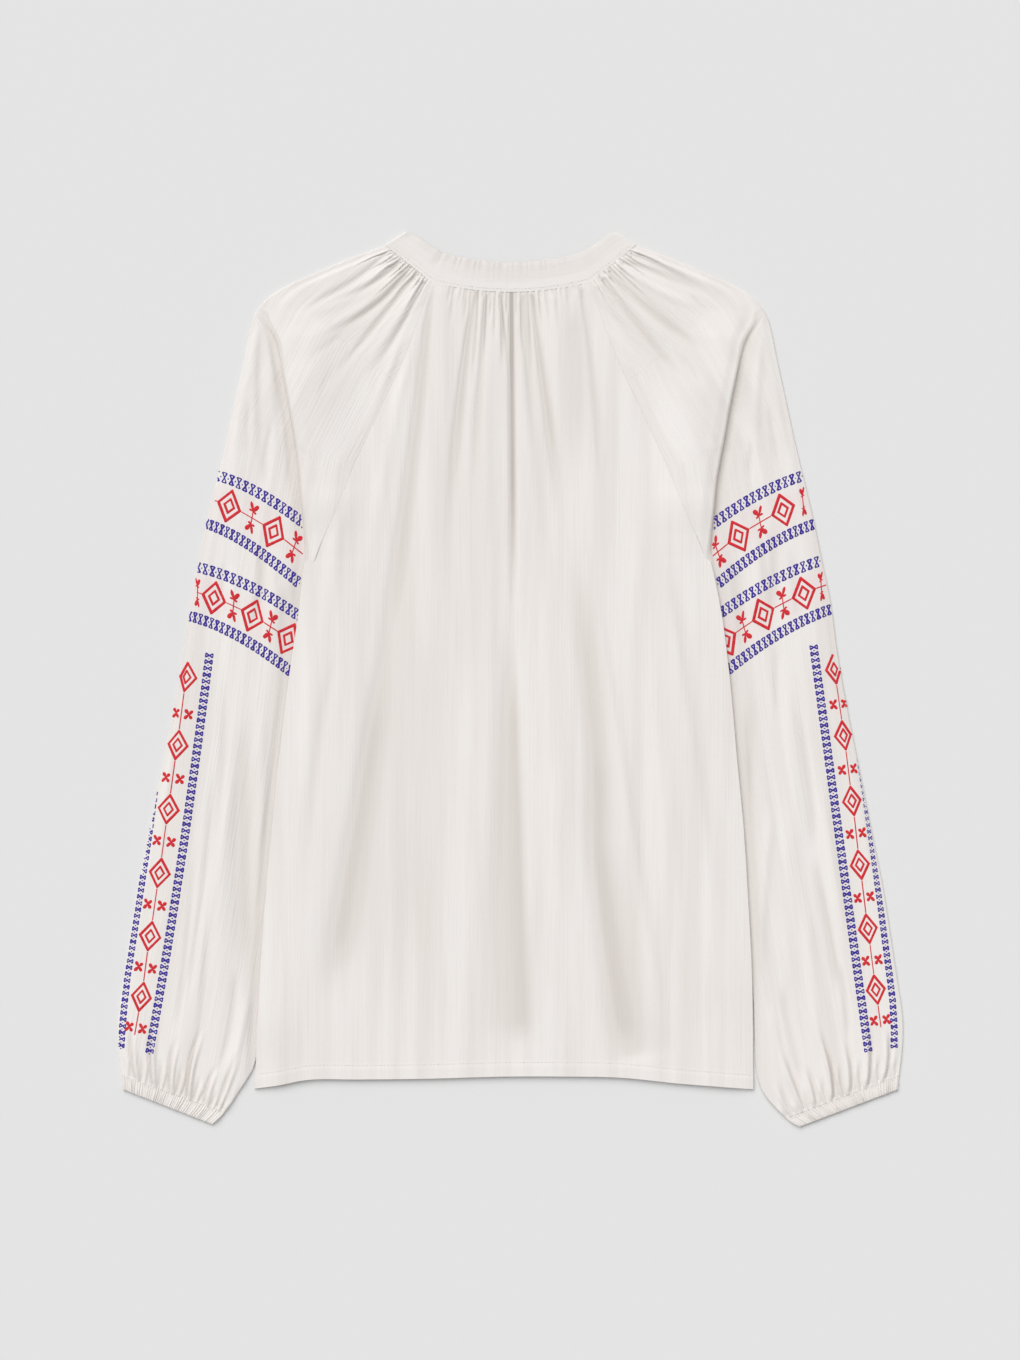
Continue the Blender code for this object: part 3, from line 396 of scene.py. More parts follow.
# The outer border of a stripe, which starts on the underside and comes round the edge of the sleeve
Border = namedtuple("Border", "place offset width")
STRIPE_BORDERS = {
    -1: [
        Border(0, 36, 5.6), Border(80, 33, 5.6), Border(121, 30.4, 5.6), Border(156, 29.9, 5.6),
        Border(231, 29.6, 5.6), Border(281, 29.1, 5.8), Border(306, 27.6, 6.0), Border(331, 25.2, 6.2),
        Border(343, 23.6, 6.2),
    ],
    1: [
        Border(0, 30, 5.6), Border(80, 27, 3.0), Border(104, 24.1, 1.6), Border(129, 25.0, 2.4),
        Border(154, 25.5, 3.2), Border(180, 26.0, 4.0), Border(204, 26.3, 4.8), Border(230, 26.5, 5.4),
        Border(280, 26.3, 6.0), Border(304, 26.0, 6.0), Border(330, 23.9, 6.2), Border(342, 22.0, 6.2),
    ],
}

# Widths, spacings and strokes of the embroidery. The arm bands lean as they cross the sleeve.
BAND_HALF_WIDTH = 20.7
BAND_BORDER_WIDTH = 9.2
BAND_LEAN = 0.2
BAND_START = -5.0
INNER_BORDER_WIDTH = 7.4
EDGE_INSET = 0.35
HIDDEN_STITCHES = -6.0
CROSS_PITCH = 5.5
CROSS_REACH = 1.7
CROSS_STROKE = 1.3
BAND_DIAMOND_ACROSS = 12.6
BAND_DIAMOND_ALONG = 9.7
STRIPE_DIAMOND_ALONG = 11.8
BAND_DIAMOND_STROKE = 2.6
STRIPE_DIAMOND_STROKE = 2.3
STROKE_END = 0.25
STEM_WIDTH = 1.0
OVERLAP = 0.05

# Strokes of thread: how far apart their points are, how deep their edges sink into the cloth, and the
# heights below and above the garment from which rays look for it
STROKE_STEP = 1.4
STROKE_SINK = 0.12
RAY_BELOW = -20.0
RAY_ABOVE = 60.0

# How far apart the threads of the weave and the strands of a stroke are, and the threads' dark tones, for
# their uneven tone and for the painted shade between strands
WEAVE_PITCH = 0.45
STRAND_PITCH = 0.5
RED_SHADE = (0.5, 0.01, 0.02)
VIOLET_SHADE = (0.025, 0.012, 0.2)
SEWING_SHADE = (0.6, 0.56, 0.53)

# The studio, whose camera looks straight down on a middle given in millimetres
FLOOR_REACH_M = 3.0
SUN_SPREAD = 56
SUN_TILT = (-34, -20, 0)
SKY_STRENGTH = 0.457
SCREEN_LONG_SIDE_MM = 1142.4
PHOTO_MIDDLE = (-0.4, -1.15)
LENS_MM = 85.0
SENSOR_MM = 36.0


# Reading the tables


def smooth(at, knots, values):
    """A smooth curve through (knots, values), read at the given places. Knots rise."""
    knots, values = np.asarray(knots, float), np.asarray(values, float)
    at = np.clip(np.asarray(at, float), knots[0], knots[-1])
    slopes = np.gradient(values, knots)
    i = np.clip(np.searchsorted(knots, at, side="right") - 1, 0, len(knots) - 2)
    step = knots[i + 1] - knots[i]
    t = (at - knots[i]) / step
    start = (1 + 2 * t) * (1 - t) ** 2 * values[i] + t * (1 - t) ** 2 * step * slopes[i]
    return start + t * t * (3 - 2 * t) * values[i + 1] + t * t * (t - 1) * step * slopes[i + 1]


def ease(at, low, high):
    """0 below low, 1 above high, and smooth in between."""
    t = np.clip((np.asarray(at, float) - low) / (high - low), 0, 1)
    return t * t * (3 - 2 * t)


def column(table, name):
    """The values of one column of a table."""
    return np.array([getattr(row, name) for row in table], float)


def read_down(table, name, y):
    """A column of a table whose y falls from row to row, read at y."""
    return smooth(y, column(table, "y")[::-1], column(table, name)[::-1])


def read_row(table, name, at):
    """A column of a table, read at a row number, which may lie between rows."""
    return smooth(at, np.arange(len(table)), column(table, name))


def read_point(table, name, at):
    """The point whose x and y a table holds under a name, read at a row number."""
    return np.array([read_row(table, name + "_x", at), read_row(table, name + "_y", at)])


def side_name(side):
    return "left" if side < 0 else "right"


def side_x(side, y):
    """How far out the line is that the top cloth ends on."""
    return read_down(SIDE_LINE, side_name(side) + "_x", y)


def inside_sides(x, y):
    """How far a point lies inside the side line of its own side."""
    return np.where(x < 0, side_x(-1, y), side_x(1, y)) - np.abs(x)


def fold_turn(y):
    """How far the sleeve has turned under at the side line, as an angle."""
    return np.radians(np.clip(read_down(SIDE_LINE, "turn", y), 0, 180))


def fold_tuck(y):
    """How far the folded part runs on before it turns back out."""
    return np.clip(read_down(SIDE_LINE, "tuck", y), 0, 10)


def fold_radius(turn):
    """The radius at which a sleeve folds, so that it comes down by the height of a pair."""
    turn = np.maximum(turn, 1e-3)
    full = PAIR_STEP * (1 + (turn - STEP_TURN) / (math.pi - STEP_TURN)) / 2 / (1 - np.cos(turn))
    return np.where(turn < STEP_TURN, FOLD_ARC / turn, full)


def side_lift(side, y):
    """How far the top pair is raised at its side line."""
    under_body = PAIR_STEP * read_down(SIDE_LINE, side_name(side) + "_lift", np.minimum(y, ARMPIT_Y))
    turn = np.maximum(fold_turn(y), 1e-3)
    drop = 2 * fold_radius(turn) * (1 - np.cos(turn)) + fold_tuck(y) * np.sin(turn)
    return np.where(np.asarray(y) > ARMPIT_Y, drop, under_body)


def pair_height(x, y):
    """The height of the middle of the top pair of layers."""
    raised = np.zeros(np.broadcast(x, y).shape)
    for side in (-1, 1):
        inside = side_x(side, y) - np.abs(x)
        shelf = read_down(SIDE_LINE, "shelf", y)
        here = side_lift(side, y) * (1 - ease(inside, shelf, shelf + SHELF_SLOPE))
        raised = np.where(np.sign(x) == side, here, raised)
    return FLOOR_PAIR + raised


def raglan_x(y):
    """How far out the raglan seam is."""
    return read_down(RAGLAN, "x", y)


def neck_y(neck, x):
    """The height of the neck seam: a curve across a panel, and straight on to the sleeve's outer edge."""
    corner = HEAD[0]
    beyond = (np.abs(x) - neck.side_x) * (corner.outer_y - neck.side_y) / (corner.outer_x - neck.side_x)
    sag = (neck.middle_y - neck.side_y) * (1 - (x / neck.side_x) ** 2)
    return neck.side_y + np.where(np.abs(x) < neck.side_x, sag, beyond)


def outline_x(side, y):
    """How far out a sleeve's outer edge is."""
    outer = [(row.outer_y, row.outer_x) for row in [*HEAD[7:], *ARM]][::-1]
    return smooth(y, [point[0] for point in outer], [point[1] for point in outer])


# Creases


def through(first, middle, last, t):
    """A curve that starts at first, passes middle half way and ends at last."""
    return first * (2 * t - 1) * (t - 1) + middle * 4 * t * (1 - t) + last * t * (2 * t - 1)


def curve_points(row, t):
    """Points of the curve through a row's three points."""
    return np.column_stack([through(row.x0, row.x1, row.x2, t), through(row.y0, row.y1, row.y2, t)])


def along_line(line, x, y):
    """For each point its signed distance from a line of short runs, and its share along it."""
    start, run = line[:-1], line[1:] - line[:-1]
    off_x, off_y = x[:, None] - start[:, 0], y[:, None] - start[:, 1]
    t = np.clip((off_x * run[:, 0] + off_y * run[:, 1]) / (run**2).sum(axis=1), 0, 1)
    off_x, off_y = off_x - t * run[:, 0], off_y - t * run[:, 1]
    nearest = np.hypot(off_x, off_y).argmin(axis=1)
    pick = (np.arange(len(x)), nearest)
    sign = np.sign(run[nearest, 0] * off_y[pick] - run[nearest, 1] * off_x[pick])
    return sign * np.hypot(off_x, off_y)[pick], (nearest + t[pick]) / len(run)


def crease_field(creases, x, y, runs=10):
    """The height that creases add at each point, and its painted shade, which grows with how deep in a hollow
    it lies, from 0 to 1.
    """
    height, hollow = np.zeros(x.shape), np.zeros(x.shape)
    t = np.linspace(0, 1, runs + 1)
    for crease in creases:
        line = curve_points(crease, t)
        reach = 3 * max(crease.start, crease.end)
        low, high = line.min(axis=0) - reach, line.max(axis=0) + reach
        near = (x > low[0]) & (x < high[0]) & (y > low[1]) & (y < high[1])
        distance, share = along_line(line, x[near], y[near])
        width = (crease.start + (crease.end - crease.start) * share) * (1 + crease.lean * np.sign(distance))
        ends = ease(share, 0, crease.grow + 1e-3) * (1 - ease(share, 1 - crease.fade - 1e-3, 1))
        shape = np.exp(-((distance / width) ** 2)) * ends
        height[near] += crease.height * shape
        hollow[near] += max(-crease.height, 0) * shape
    return height, hollow


def fan(first, last, first_heading, last_heading, gathers, width):
    """Gathers that start along a seam from first to last and turn evenly from one heading to the other."""
    creases = []
    for number, (length, depth) in enumerate(gathers):
        share = (number + 0.5) / len(gathers)
        start = np.add(first, np.subtract(last, first) * share)
        angle = math.radians(first_heading + (last_heading - first_heading) * share)
        end = start + length * np.array([math.cos(angle), math.sin(angle)])
        middle = (start + end) / 2
        bend = length / 16 * math.sin(2.1 * number)
        for offset, sign in ((0.0, -1), (width * 1.8, 0.7)):
            across = np.array([-math.sin(angle), math.cos(angle)])
            shift = across * offset
            places = [*(start + shift), *(middle + across * (offset + bend)), *(end + shift)]
            creases.append(Crease(*places, width * 0.8, width * 1.8, sign * depth, 0.0, 0.0, 0.6))
    return creases


# Building meshes


def add_mesh(name, points, faces, corners, material):
    """An object with a smooth mesh of points. corners holds the places on the cloth, face by face."""
    mesh = bpy.data.meshes.new(name)
    mesh.from_pydata(((np.asarray(points) - [0, MIDDLE_Y, 0]) * MM).tolist(), [], faces)
    layer = mesh.uv_layers.new(name="cloth")
    layer.data.foreach_set("uv", (corners * MM).astype(np.float32).reshape(-1))
    mesh.shade_smooth()
    mesh.materials.append(material)
    piece = bpy.data.objects.new(name, mesh)
    bpy.context.scene.collection.objects.link(piece)
    return piece


class Shell:
    """A grid of points of thin cloth, with its cloth coordinates and the painted shade of each point, from
    how deep it lies in a hollow.
    """

    def __init__(self, points, across, along, hollow, closed=False, keep=None, tint=None):
        self.rows, self.columns = points.shape[:2]
        self.points, self.across, self.along, self.hollow = points, across, along, hollow
        self.closed, self.keep = closed, keep
        self.tint = np.zeros(hollow.shape) if tint is None else tint

    def faces(self):
        row, col = np.meshgrid(
            np.arange(self.rows - 1), np.arange(self.columns - (not self.closed)), indexing="ij"
        )
        beside = (col + 1) % self.columns
        corners = np.stack([
            row * self.columns + col, row * self.columns + beside,
            (row + 1) * self.columns + beside, (row + 1) * self.columns + col,
        ], axis=-1).reshape(-1, 4)
        if self.keep is not None:
            corners = corners[self.keep(row, col).reshape(-1)]
        return corners

    def build(self, name, material, thickness):
        """The piece of cloth, half its thickness on each side of the grid."""
        faces = self.faces()
        across = np.broadcast_to(self.across, (self.rows, self.columns))
        flat = np.column_stack([across.reshape(-1), self.along.reshape(-1)])[faces].copy()
        if self.closed:
            seam = np.abs(flat[:, 0, 0] - flat[:, 1, 0]) > np.ptp(across) / 2
            flat[seam, 1:3, 0] = flat[seam, 0:1, 0]
        piece = add_mesh(name, self.points.reshape(-1, 3), faces.tolist(), flat, material)
        for label, values in (("hollow", self.hollow), ("tint", self.tint)):
            shade = piece.data.attributes.new(label, "FLOAT", "POINT")
            shade.data.foreach_set("value", values.reshape(-1).astype(np.float32))
        thicken = piece.modifiers.new("cloth", "SOLIDIFY")
        thicken.thickness = thickness * MM
        thicken.offset = 0
        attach(piece, BODY)
        return piece

    def surface(self):
        return BVHTree.FromPolygons(self.points.reshape(-1, 3).tolist(), self.faces().tolist())


def lengths_down(points):
    """How far along each column every point lies."""
    steps = np.linalg.norm(np.diff(points, axis=0), axis=-1)
    return np.concatenate([np.zeros((1, points.shape[1])), np.cumsum(steps, axis=0)])


# Body panels


def panel_edge(side, y):
    """How far out a panel's edge is: its raglan seam, and below the armpit its side seam."""
    return np.where(np.asarray(y) >= ARMPIT_Y, raglan_x(y), side_x(side, y) - WALL / 2)


def panel_grid(rows, places, spread, neck):
    """The plan of a body panel. spread closes its middle columns up at the neck."""
    y_side = rows[:, None]
    down = (neck.side_y - y_side) / (neck.side_y - rows[-1])
    closed_up = 0.5 + (places - 0.5) * np.interp(np.abs(places - 0.5), [0, 0.3, 0.5], [spread, spread, 1])
    share = closed_up + (places - closed_up) * ease(down, 0.0, 0.8)
    out = 2 * share - 1
    side = np.where(out < 0, -1, 1)
    edge = np.where(out < 0, panel_edge(-1, y_side), panel_edge(1, y_side))
    under_arm = np.where(out < 0, side_x(-1, y_side), side_x(1, y_side))
    steady = raglan_x(np.maximum(y_side, ARMPIT_Y))
    steady = steady + (under_arm - steady) * (1 - ease(y_side, ARMPIT_Y - 60, ARMPIT_Y + 60))
    size = np.abs(out)
    x = side * size * (steady + (edge - steady) * size**8)
    neck_sag = (neck.middle_y - neck.side_y) * (1 - (2 * share - 1) ** 2)
    hem_lift = smooth(x, column(HEM, "x"), column(HEM, "y")) - HEM_Y
    return x, y_side + neck_sag * (1 - down) ** 2 + hem_lift * ease(down, 0.6, 1.0)


def seam_pinch(x, y):
    """How much nearer each other the panels lie along their side seams."""
    return (LAYER_GAP - SEAM_GAP) / 2 * (1 - ease(inside_sides(x, y), WALL, RIM)) * (y < ARMPIT_Y)


def panel_rows(top, spacing):
    """Heights down a panel's sides, closer together near the neck and the hem."""
    near_neck = np.arange(top, top - NEAR_NECK, -spacing / 2)
    down = np.arange(top - NEAR_NECK, HEM_Y + NEAR_HEM, -spacing)
    near_hem = np.linspace(HEM_Y + NEAR_HEM, HEM_Y, 16)
    return np.r_[top, top - EDGE_FACE, near_neck[1:], down, near_hem[:-1], HEM_Y + EDGE_FACE, HEM_Y]


def neck_gather(gather):
    """A gather as a crease that starts on the neck seam."""
    top = float(neck_y(BACK_NECK, gather.x)) + 1
    places = [gather.x, top, gather.x + gather.drift / 2, top - gather.length / 2]
    places += [gather.x + gather.drift, top - gather.length]
    return Crease(*places, gather.width, gather.width * 2, -gather.depth, 0, 0, 0.7)


def small_neck_gathers():
    """Short uneven gathers that fill the middle of the neck seam."""
    gathers = []
    for number in range(SMALL_NECK_GATHERS):
        x = -50 + 112 * number / SMALL_NECK_GATHERS + 0.8 * math.sin(2.3 * number)
        length = 13 + 7 * math.sin(1.9 * number + 1) + 3 * math.sin(5.1 * number)
        depth = 0.75 + 0.3 * math.sin(3.1 * number + 0.4)
        gathers.append(Gather(x, x / 16, length, 0.75, depth))
    return gathers


def back_shell(sizes):
    """The back panel with its creases, the gathers of its neck and its turned hem."""
    rows = panel_rows(BACK_NECK.side_y, sizes.row_spacing / MM)
    places = np.linspace(0, 1, round(PANEL_WIDTH / (sizes.column_spacing / MM)) + 1)
    places = np.r_[0, EDGE_SHARE, places[1:-1], 1 - EDGE_SHARE, 1]
    x, y = panel_grid(rows, places, NECK_SPREAD, BACK_NECK)
    gathers = [neck_gather(gather) for gather in [*NECK_GATHERS, *small_neck_gathers()]]
    height, hollow = crease_field([*BACK_CREASES, *gathers], x, y)
    above_hem = y - smooth(x, column(HEM, "x"), column(HEM, "y"))
    side_inside = inside_sides(x, y)
    seam_inside = np.where(y > ARMPIT_Y, raglan_x(y) - np.abs(x), 100)
    shown = ease(side_inside, 2, 22) * ease(seam_inside, 0, 9) * (0.3 + 0.7 * ease(above_hem, 2, 50))
    base = sizes.crease_floor / MM
    loft = base * (0.7 + 0.3 * ease(neck_y(BACK_NECK, x) - y, 0, 8)) * ease(side_inside, 2, 22)
    loft = loft * (SEAM_LOFT + (1 - SEAM_LOFT) * ease(seam_inside, 0, SEAM_FADE))
    relief = np.maximum(height * sizes.crease_strength * shown + loft, LEAST_LOFT * loft)
    hem = HEM_RISE * (1 - ease(above_hem, HEM_DEPTH - 0.6, HEM_DEPTH + 0.8))
    hem = hem - HEM_GROOVE * np.exp(-((above_hem - HEM_DEPTH + 1) ** 2))
    seam_roll = -SEAM_ROLL * (1 - ease(seam_inside, 0, 1.6))
    z = pair_height(x, y) + HALF_PAIR - seam_pinch(x, y) + relief + hem + seam_roll
    points = np.stack([x, y, z], axis=-1)
    # Painted shade: in the hollows of the creases and gathers, along the raglan seams, and in a line along
    # the top of the turned hem.
    hem_shade = 0.4 * np.exp(-(((above_hem - HEM_DEPTH - 0.4) / 0.7) ** 2))
    hollow = hollow * shown + SEAM_SHADE * (1 - ease(seam_inside, 0, 1.2)) + hem_shade
    return Shell(points, x, -y, hollow)


def front_shell(sizes):
    """The front panel, which lies on the surface under the back, with its neck slit."""
    rows = panel_rows(FRONT_NECK.side_y, 2 * sizes.row_spacing / MM)
    half = np.linspace(0, 0.5, round(PANEL_WIDTH / 2 / (2 * sizes.column_spacing / MM)) + 1)
    places = np.concatenate([half, 1 - half[::-1]])
    x, y = panel_grid(rows, places, 1.0, FRONT_NECK)
    slit = len(half) - 1
    x[:, slit], x[:, slit + 1] = -SLIT_WIDTH / 2, SLIT_WIDTH / 2
    y[:, slit + 1] = y[:, slit]
    z = pair_height(x, y) - HALF_PAIR + seam_pinch(x, y)
    points = np.stack([x, y, z], axis=-1)
    bottom = FRONT_NECK.middle_y - SLIT_LENGTH

    def keep(row, col):
        """The slit is open down to its bottom."""
        return (col != slit) | (y[row, slit] <= bottom)

    return Shell(points, x, -y, np.zeros(x.shape), keep=keep)


# Sleeves


def arm_ends(at, side):
    """The inner and the outer end of a section of an arm."""
    return read_point(ARM, side_name(side), at), read_point(ARM, "outer", at)


def head_ends(at, layer):
    """The inner end of a layer of a head, on its raglan seam, and its outer end."""
    inner_y = float(read_row(HEAD, "inner_y" if layer > 0 else "front_y", at))
    return np.array([float(raglan_x(inner_y)), inner_y]), read_point(HEAD, "outer", at)


def fold_at(side, inner, outer):
    """Where a section crosses the side line: how far along, at which y, and how much it slants across it."""
    length = math.dist(inner, outer)
    shares = np.linspace(0, 1, 400)
    line = inner + np.outer(shares, outer - inner)
    crosses = line[:, 0] >= side_x(side, line[:, 1])
    crossing = shares[np.argmax(crosses)] if crosses.any() else 1.0
    y = inner[1] + crossing * (outer[1] - inner[1])
    lean = float(side_x(side, y + 2) - side_x(side, y - 2)) / 4
    across = np.array([1, -lean]) / math.hypot(1, lean)
    return crossing * length, y, length / float((outer - inner) @ across)


def pleat_path(turn, tuck):
    """The middle of a pair as it turns under, runs on and turns back out, as places, drops and headings."""
    radius, tuck = float(fold_radius(turn)), max(tuck, LEAST_TUCK)
    first = np.linspace(0, turn, PLEAT_STEPS + 1)[1:]
    second = np.linspace(turn, 0, PLEAT_STEPS + 1)[1:]
    places, drops = list(radius * np.sin(first)), list(radius * (1 - np.cos(first)))
    places.append(places[-1] + tuck * math.cos(turn))
    drops.append(drops[-1] + tuck * math.sin(turn))
    far, low = places[-1], drops[-1]
    places += list(far + radius * (math.sin(turn) - np.sin(second)))
    drops += list(low + radius * (np.cos(second) - math.cos(turn)))
    return np.array(places), np.array(drops), np.array([*first, turn, *second])


def layer_points(side, inner, outer, layer, fold, turn, tuck, slant, on_floor, counts):
    """One layer of a section, from its inner end to its outer turn, as x, y, z and whether it lies under."""
    length = math.dist(inner, outer)
    along = (outer - inner) / length
    end = length - PAIR_REACH
    low = PAIR_REACH if on_floor else 0.0

    def height(places):
        spot = inner + np.outer(places, along)
        return np.full(len(places), FLOOR_PAIR) if on_floor else pair_height(side * spot[:, 0], spot[:, 1])

    before = np.r_[low, np.linspace(low + EDGE_FACE, fold, counts[0] - 1)]
    top = height(before)
    places, drops, headings = pleat_path(max(turn, 0.02), tuck)
    places = places * slant
    room = end - 1.0 - fold
    if places[-1] > room:
        places = places * room / places[-1]
    heights = top[-1] - drops * (top[-1] - FLOOR_PAIR) / drops[-1]
    beyond = np.linspace(fold + places[-1], end, counts[1] + 1)[1:]
    after = np.full(len(beyond), FLOOR_PAIR)
    if turn < STEP_TURN:
        headings = headings * turn / STEP_TURN
    places = np.concatenate([before, fold + places, beyond])
    heights = np.concatenate([top, heights, after])
    headings = np.concatenate([np.zeros(len(before)), headings, np.zeros(len(beyond))])
    plan = inner + np.outer(places + layer * HALF_PAIR * slant * np.sin(headings), along)
    z = heights + layer * HALF_PAIR * np.cos(headings)
    lies_under = on_floor | ((np.arange(len(places)) >= len(before)) & (turn > 0.05))
    return np.column_stack([side * plan[:, 0], plan[:, 1], z, places, end - places, lies_under])


def edge_turn(first, last, outward, side):
    """The points of a half-turn from one layer's end to the other's, bulging outward in plan."""
    angles = np.linspace(0, math.pi, TURN_STEPS + 1)[1:-1, None]
    points = first + (last - first) * (1 - np.cos(angles)) / 2
    points[:, 0] += side * outward[0] * HALF_PAIR * np.sin(angles[:, 0])
    points[:, 1] += outward[1] * HALF_PAIR * np.sin(angles[:, 0])
    return points


def sleeve_ring(side, at, is_head, counts):
    """The points round a section of a sleeve: back layer, outer edge, front layer and inner edge."""
    if is_head:
        back_ends, front_ends = head_ends(at, 1), head_ends(at, -1)
        crossing, cross_y, slant = fold_at(side, *back_ends)
        turn, tuck = float(fold_turn(cross_y)), float(fold_tuck(cross_y))
        reach = (min(float(fold_radius(turn)), FOLD_ARC) + PAIR_REACH) * math.sin(min(turn, math.pi / 2))
        fold = min(crossing - reach * slant, math.dist(*back_ends) - PAIR_REACH - RIM)
        fold = max(fold, SEAM_GAP + 0.5)
        front_fold = fold + math.dist(*front_ends) - math.dist(*back_ends)
    else:
        back_ends = front_ends = arm_ends(at, side)
        turn, tuck, slant = 0.0, 0.0, 1.0
        fold = front_fold = PAIR_REACH + 0.5 + 0.45 * math.dist(*back_ends) * float(ease(at, 0, 3))
    back = layer_points(side, *back_ends, 1, fold, turn, tuck, slant, not is_head, counts)
    front_counts = (counts[0] // 4, counts[1] // 4)
    front = layer_points(side, *front_ends, -1, front_fold, turn, tuck, slant, not is_head, front_counts)
    outward = [(outer - inner) / math.dist(inner, outer) for inner, outer in (back_ends, front_ends)]
    outer_edge = edge_turn(back[-1], front[-1], (outward[0] + outward[1]) / 2, side)
    inner_edge = edge_turn(front[0], back[0], -outward[0], side)
    outer_edge[:, 4] = inner_edge[:, 4] = 0
    return np.array([*back, *outer_edge, *front[::-1], *inner_edge])


def sleeve_gathers(side):
    """Gathers that radiate from the neckband's end of a sleeve and up from its cuff."""
    raglan_end, shoulder_end = (66.5, 333.5), (104.0, 363.5)
    cuff_inner, cuff_outer = arm_ends(CUFF_SEAM, 1)
    creases = fan(raglan_end, shoulder_end, -66, -20, HEAD_GATHERS, 0.5)
    creases += fan(cuff_inner, cuff_outer, 116, 84, CUFF_GATHERS, 1.5)
    if side > 0:
        return creases
    return [crease._replace(x0=-crease.x0, x1=-crease.x1, x2=-crease.x2) for crease in creases]


def show_through(side, x, y):
    """How much of the red thread behind the cloth shows through it, between the borders of the arm bands."""
    t = np.linspace(0, 1, 13)
    tint = np.zeros(x.size)
    for band in ARM_BANDS:
        if band.side == side:
            distance = along_line(curve_points(band, t), x.reshape(-1), y.reshape(-1))[0]
            tint = np.maximum(tint, 1 - ease(np.abs(distance), 11, 17))
    return tint.reshape(x.shape) * (np.abs(x) > side_x(side, y))


def sleeve_shell(side, sizes):
    """A sleeve: its head down to the armpit and its arm down to the cuff, with creases and gathers."""
    spacing = sizes.row_spacing / MM
    counts = [round(width / (sizes.column_spacing / MM)) for width in (SLEEVE_TOP_WIDTH, SLEEVE_UNDER_WIDTH)]
    near_neck = np.r_[0, np.linspace(0.05, 2, round(20 / (spacing / 2)))]
    down_head = np.linspace(2, len(HEAD) - 1, round(HEAD_LENGTH / spacing))[1:]
    down_arm = np.linspace(0, CUFF_SEAM - 2, round(ARM_LENGTH / spacing))
    near_cuff = np.linspace(CUFF_SEAM - 2, CUFF_SEAM - 0.02, round(NEAR_CUFF / (spacing / 2)))[1:]
    heads = [sleeve_ring(side, at, True, counts) for at in [*near_neck, *down_head]]
    arms = [sleeve_ring(side, at, False, counts) for at in [*down_arm, *near_cuff, CUFF_SEAM]]
    rings = np.array(heads + arms)
    columns = rings.shape[1]
    points = rings[:, :, :3].copy()
    seam_gap, outer_gap, lies_under = rings[:, :, 3], rings[:, :, 4], rings[:, :, 5] > 0.5
    is_back = np.arange(columns) < counts[0] + 2 * PLEAT_STEPS + 1 + counts[1]
    x, y = points[:, :, 0], points[:, :, 1]
    height, hollow = crease_field([*SLEEVE_CREASES[side], *sleeve_gathers(side)], x, y)
    beyond = np.abs(x) - side_x(side, y)
    from_top = lengths_down(points)
    clear = np.where(lies_under, ease(beyond, 3, 9), ease(-beyond, 2, 12)) * ease(outer_gap, 0, 7) * is_back
    shown = clear * np.where(lies_under, 1, ease(seam_gap, 0, 9))
    from_seam = SEAM_LOFT + (1 - SEAM_LOFT) * ease(seam_gap, 0, SEAM_FADE)
    from_neck = 0.7 + 0.3 * ease(from_top, 0, 8)
    loft = sizes.crease_floor / MM * clear * np.where(lies_under, 1, from_seam * from_neck)
    puffed = np.maximum(height * sizes.crease_strength * shown + loft, LEAST_LOFT * loft)
    above_cuff = from_top[-1:] - from_top
    at_cuff = 1 - ease(above_cuff, 0, 8)
    at_seam = 1 - ease(above_cuff, 0, 1.6)
    drawn_in = np.clip(0.5 + 0.7 * height * (1 - 0.7 * at_seam), 0.1, 1.6) * shown
    points[:, :, 2] += puffed * (1 - at_cuff) + drawn_in * at_cuff
    on_head = np.arange(len(rings))[:, None] < len(heads)
    points[:, :, 2] -= SEAM_ROLL * (1 - ease(seam_gap, 0, 1.6)) * is_back * on_head
    # Painted shadow where the sleeve comes out from under the body's edge, and painted shade in the hollows
    # of the creases and gathers and along the raglan seams.
    under_body = 1.6 * np.exp(-((np.maximum(beyond, 0) / 9) ** 2)) * (beyond > -4) * lies_under * is_back
    hollow = hollow * (1 - 0.5 * at_seam) * shown + under_body
    hollow = hollow + SEAM_SHADE * (1 - ease(seam_gap, 0, 1.2)) * is_back * on_head

    def keep(row, col):
        """A head is open along its raglan seam, where an arm is closed."""
        return (row >= len(heads)) | (col < columns - TURN_STEPS)

    grain = np.array([column(GRAIN, "x"), column(GRAIN, "y")]).T
    across, share = along_line(grain, np.abs(x).reshape(-1), y.reshape(-1))
    across, along = across.reshape(x.shape), share.reshape(x.shape) * GRAIN_LENGTH
    return Shell(points, across, along, hollow, closed=True, keep=keep, tint=show_through(side, x, y))


# Cuffs and neckband


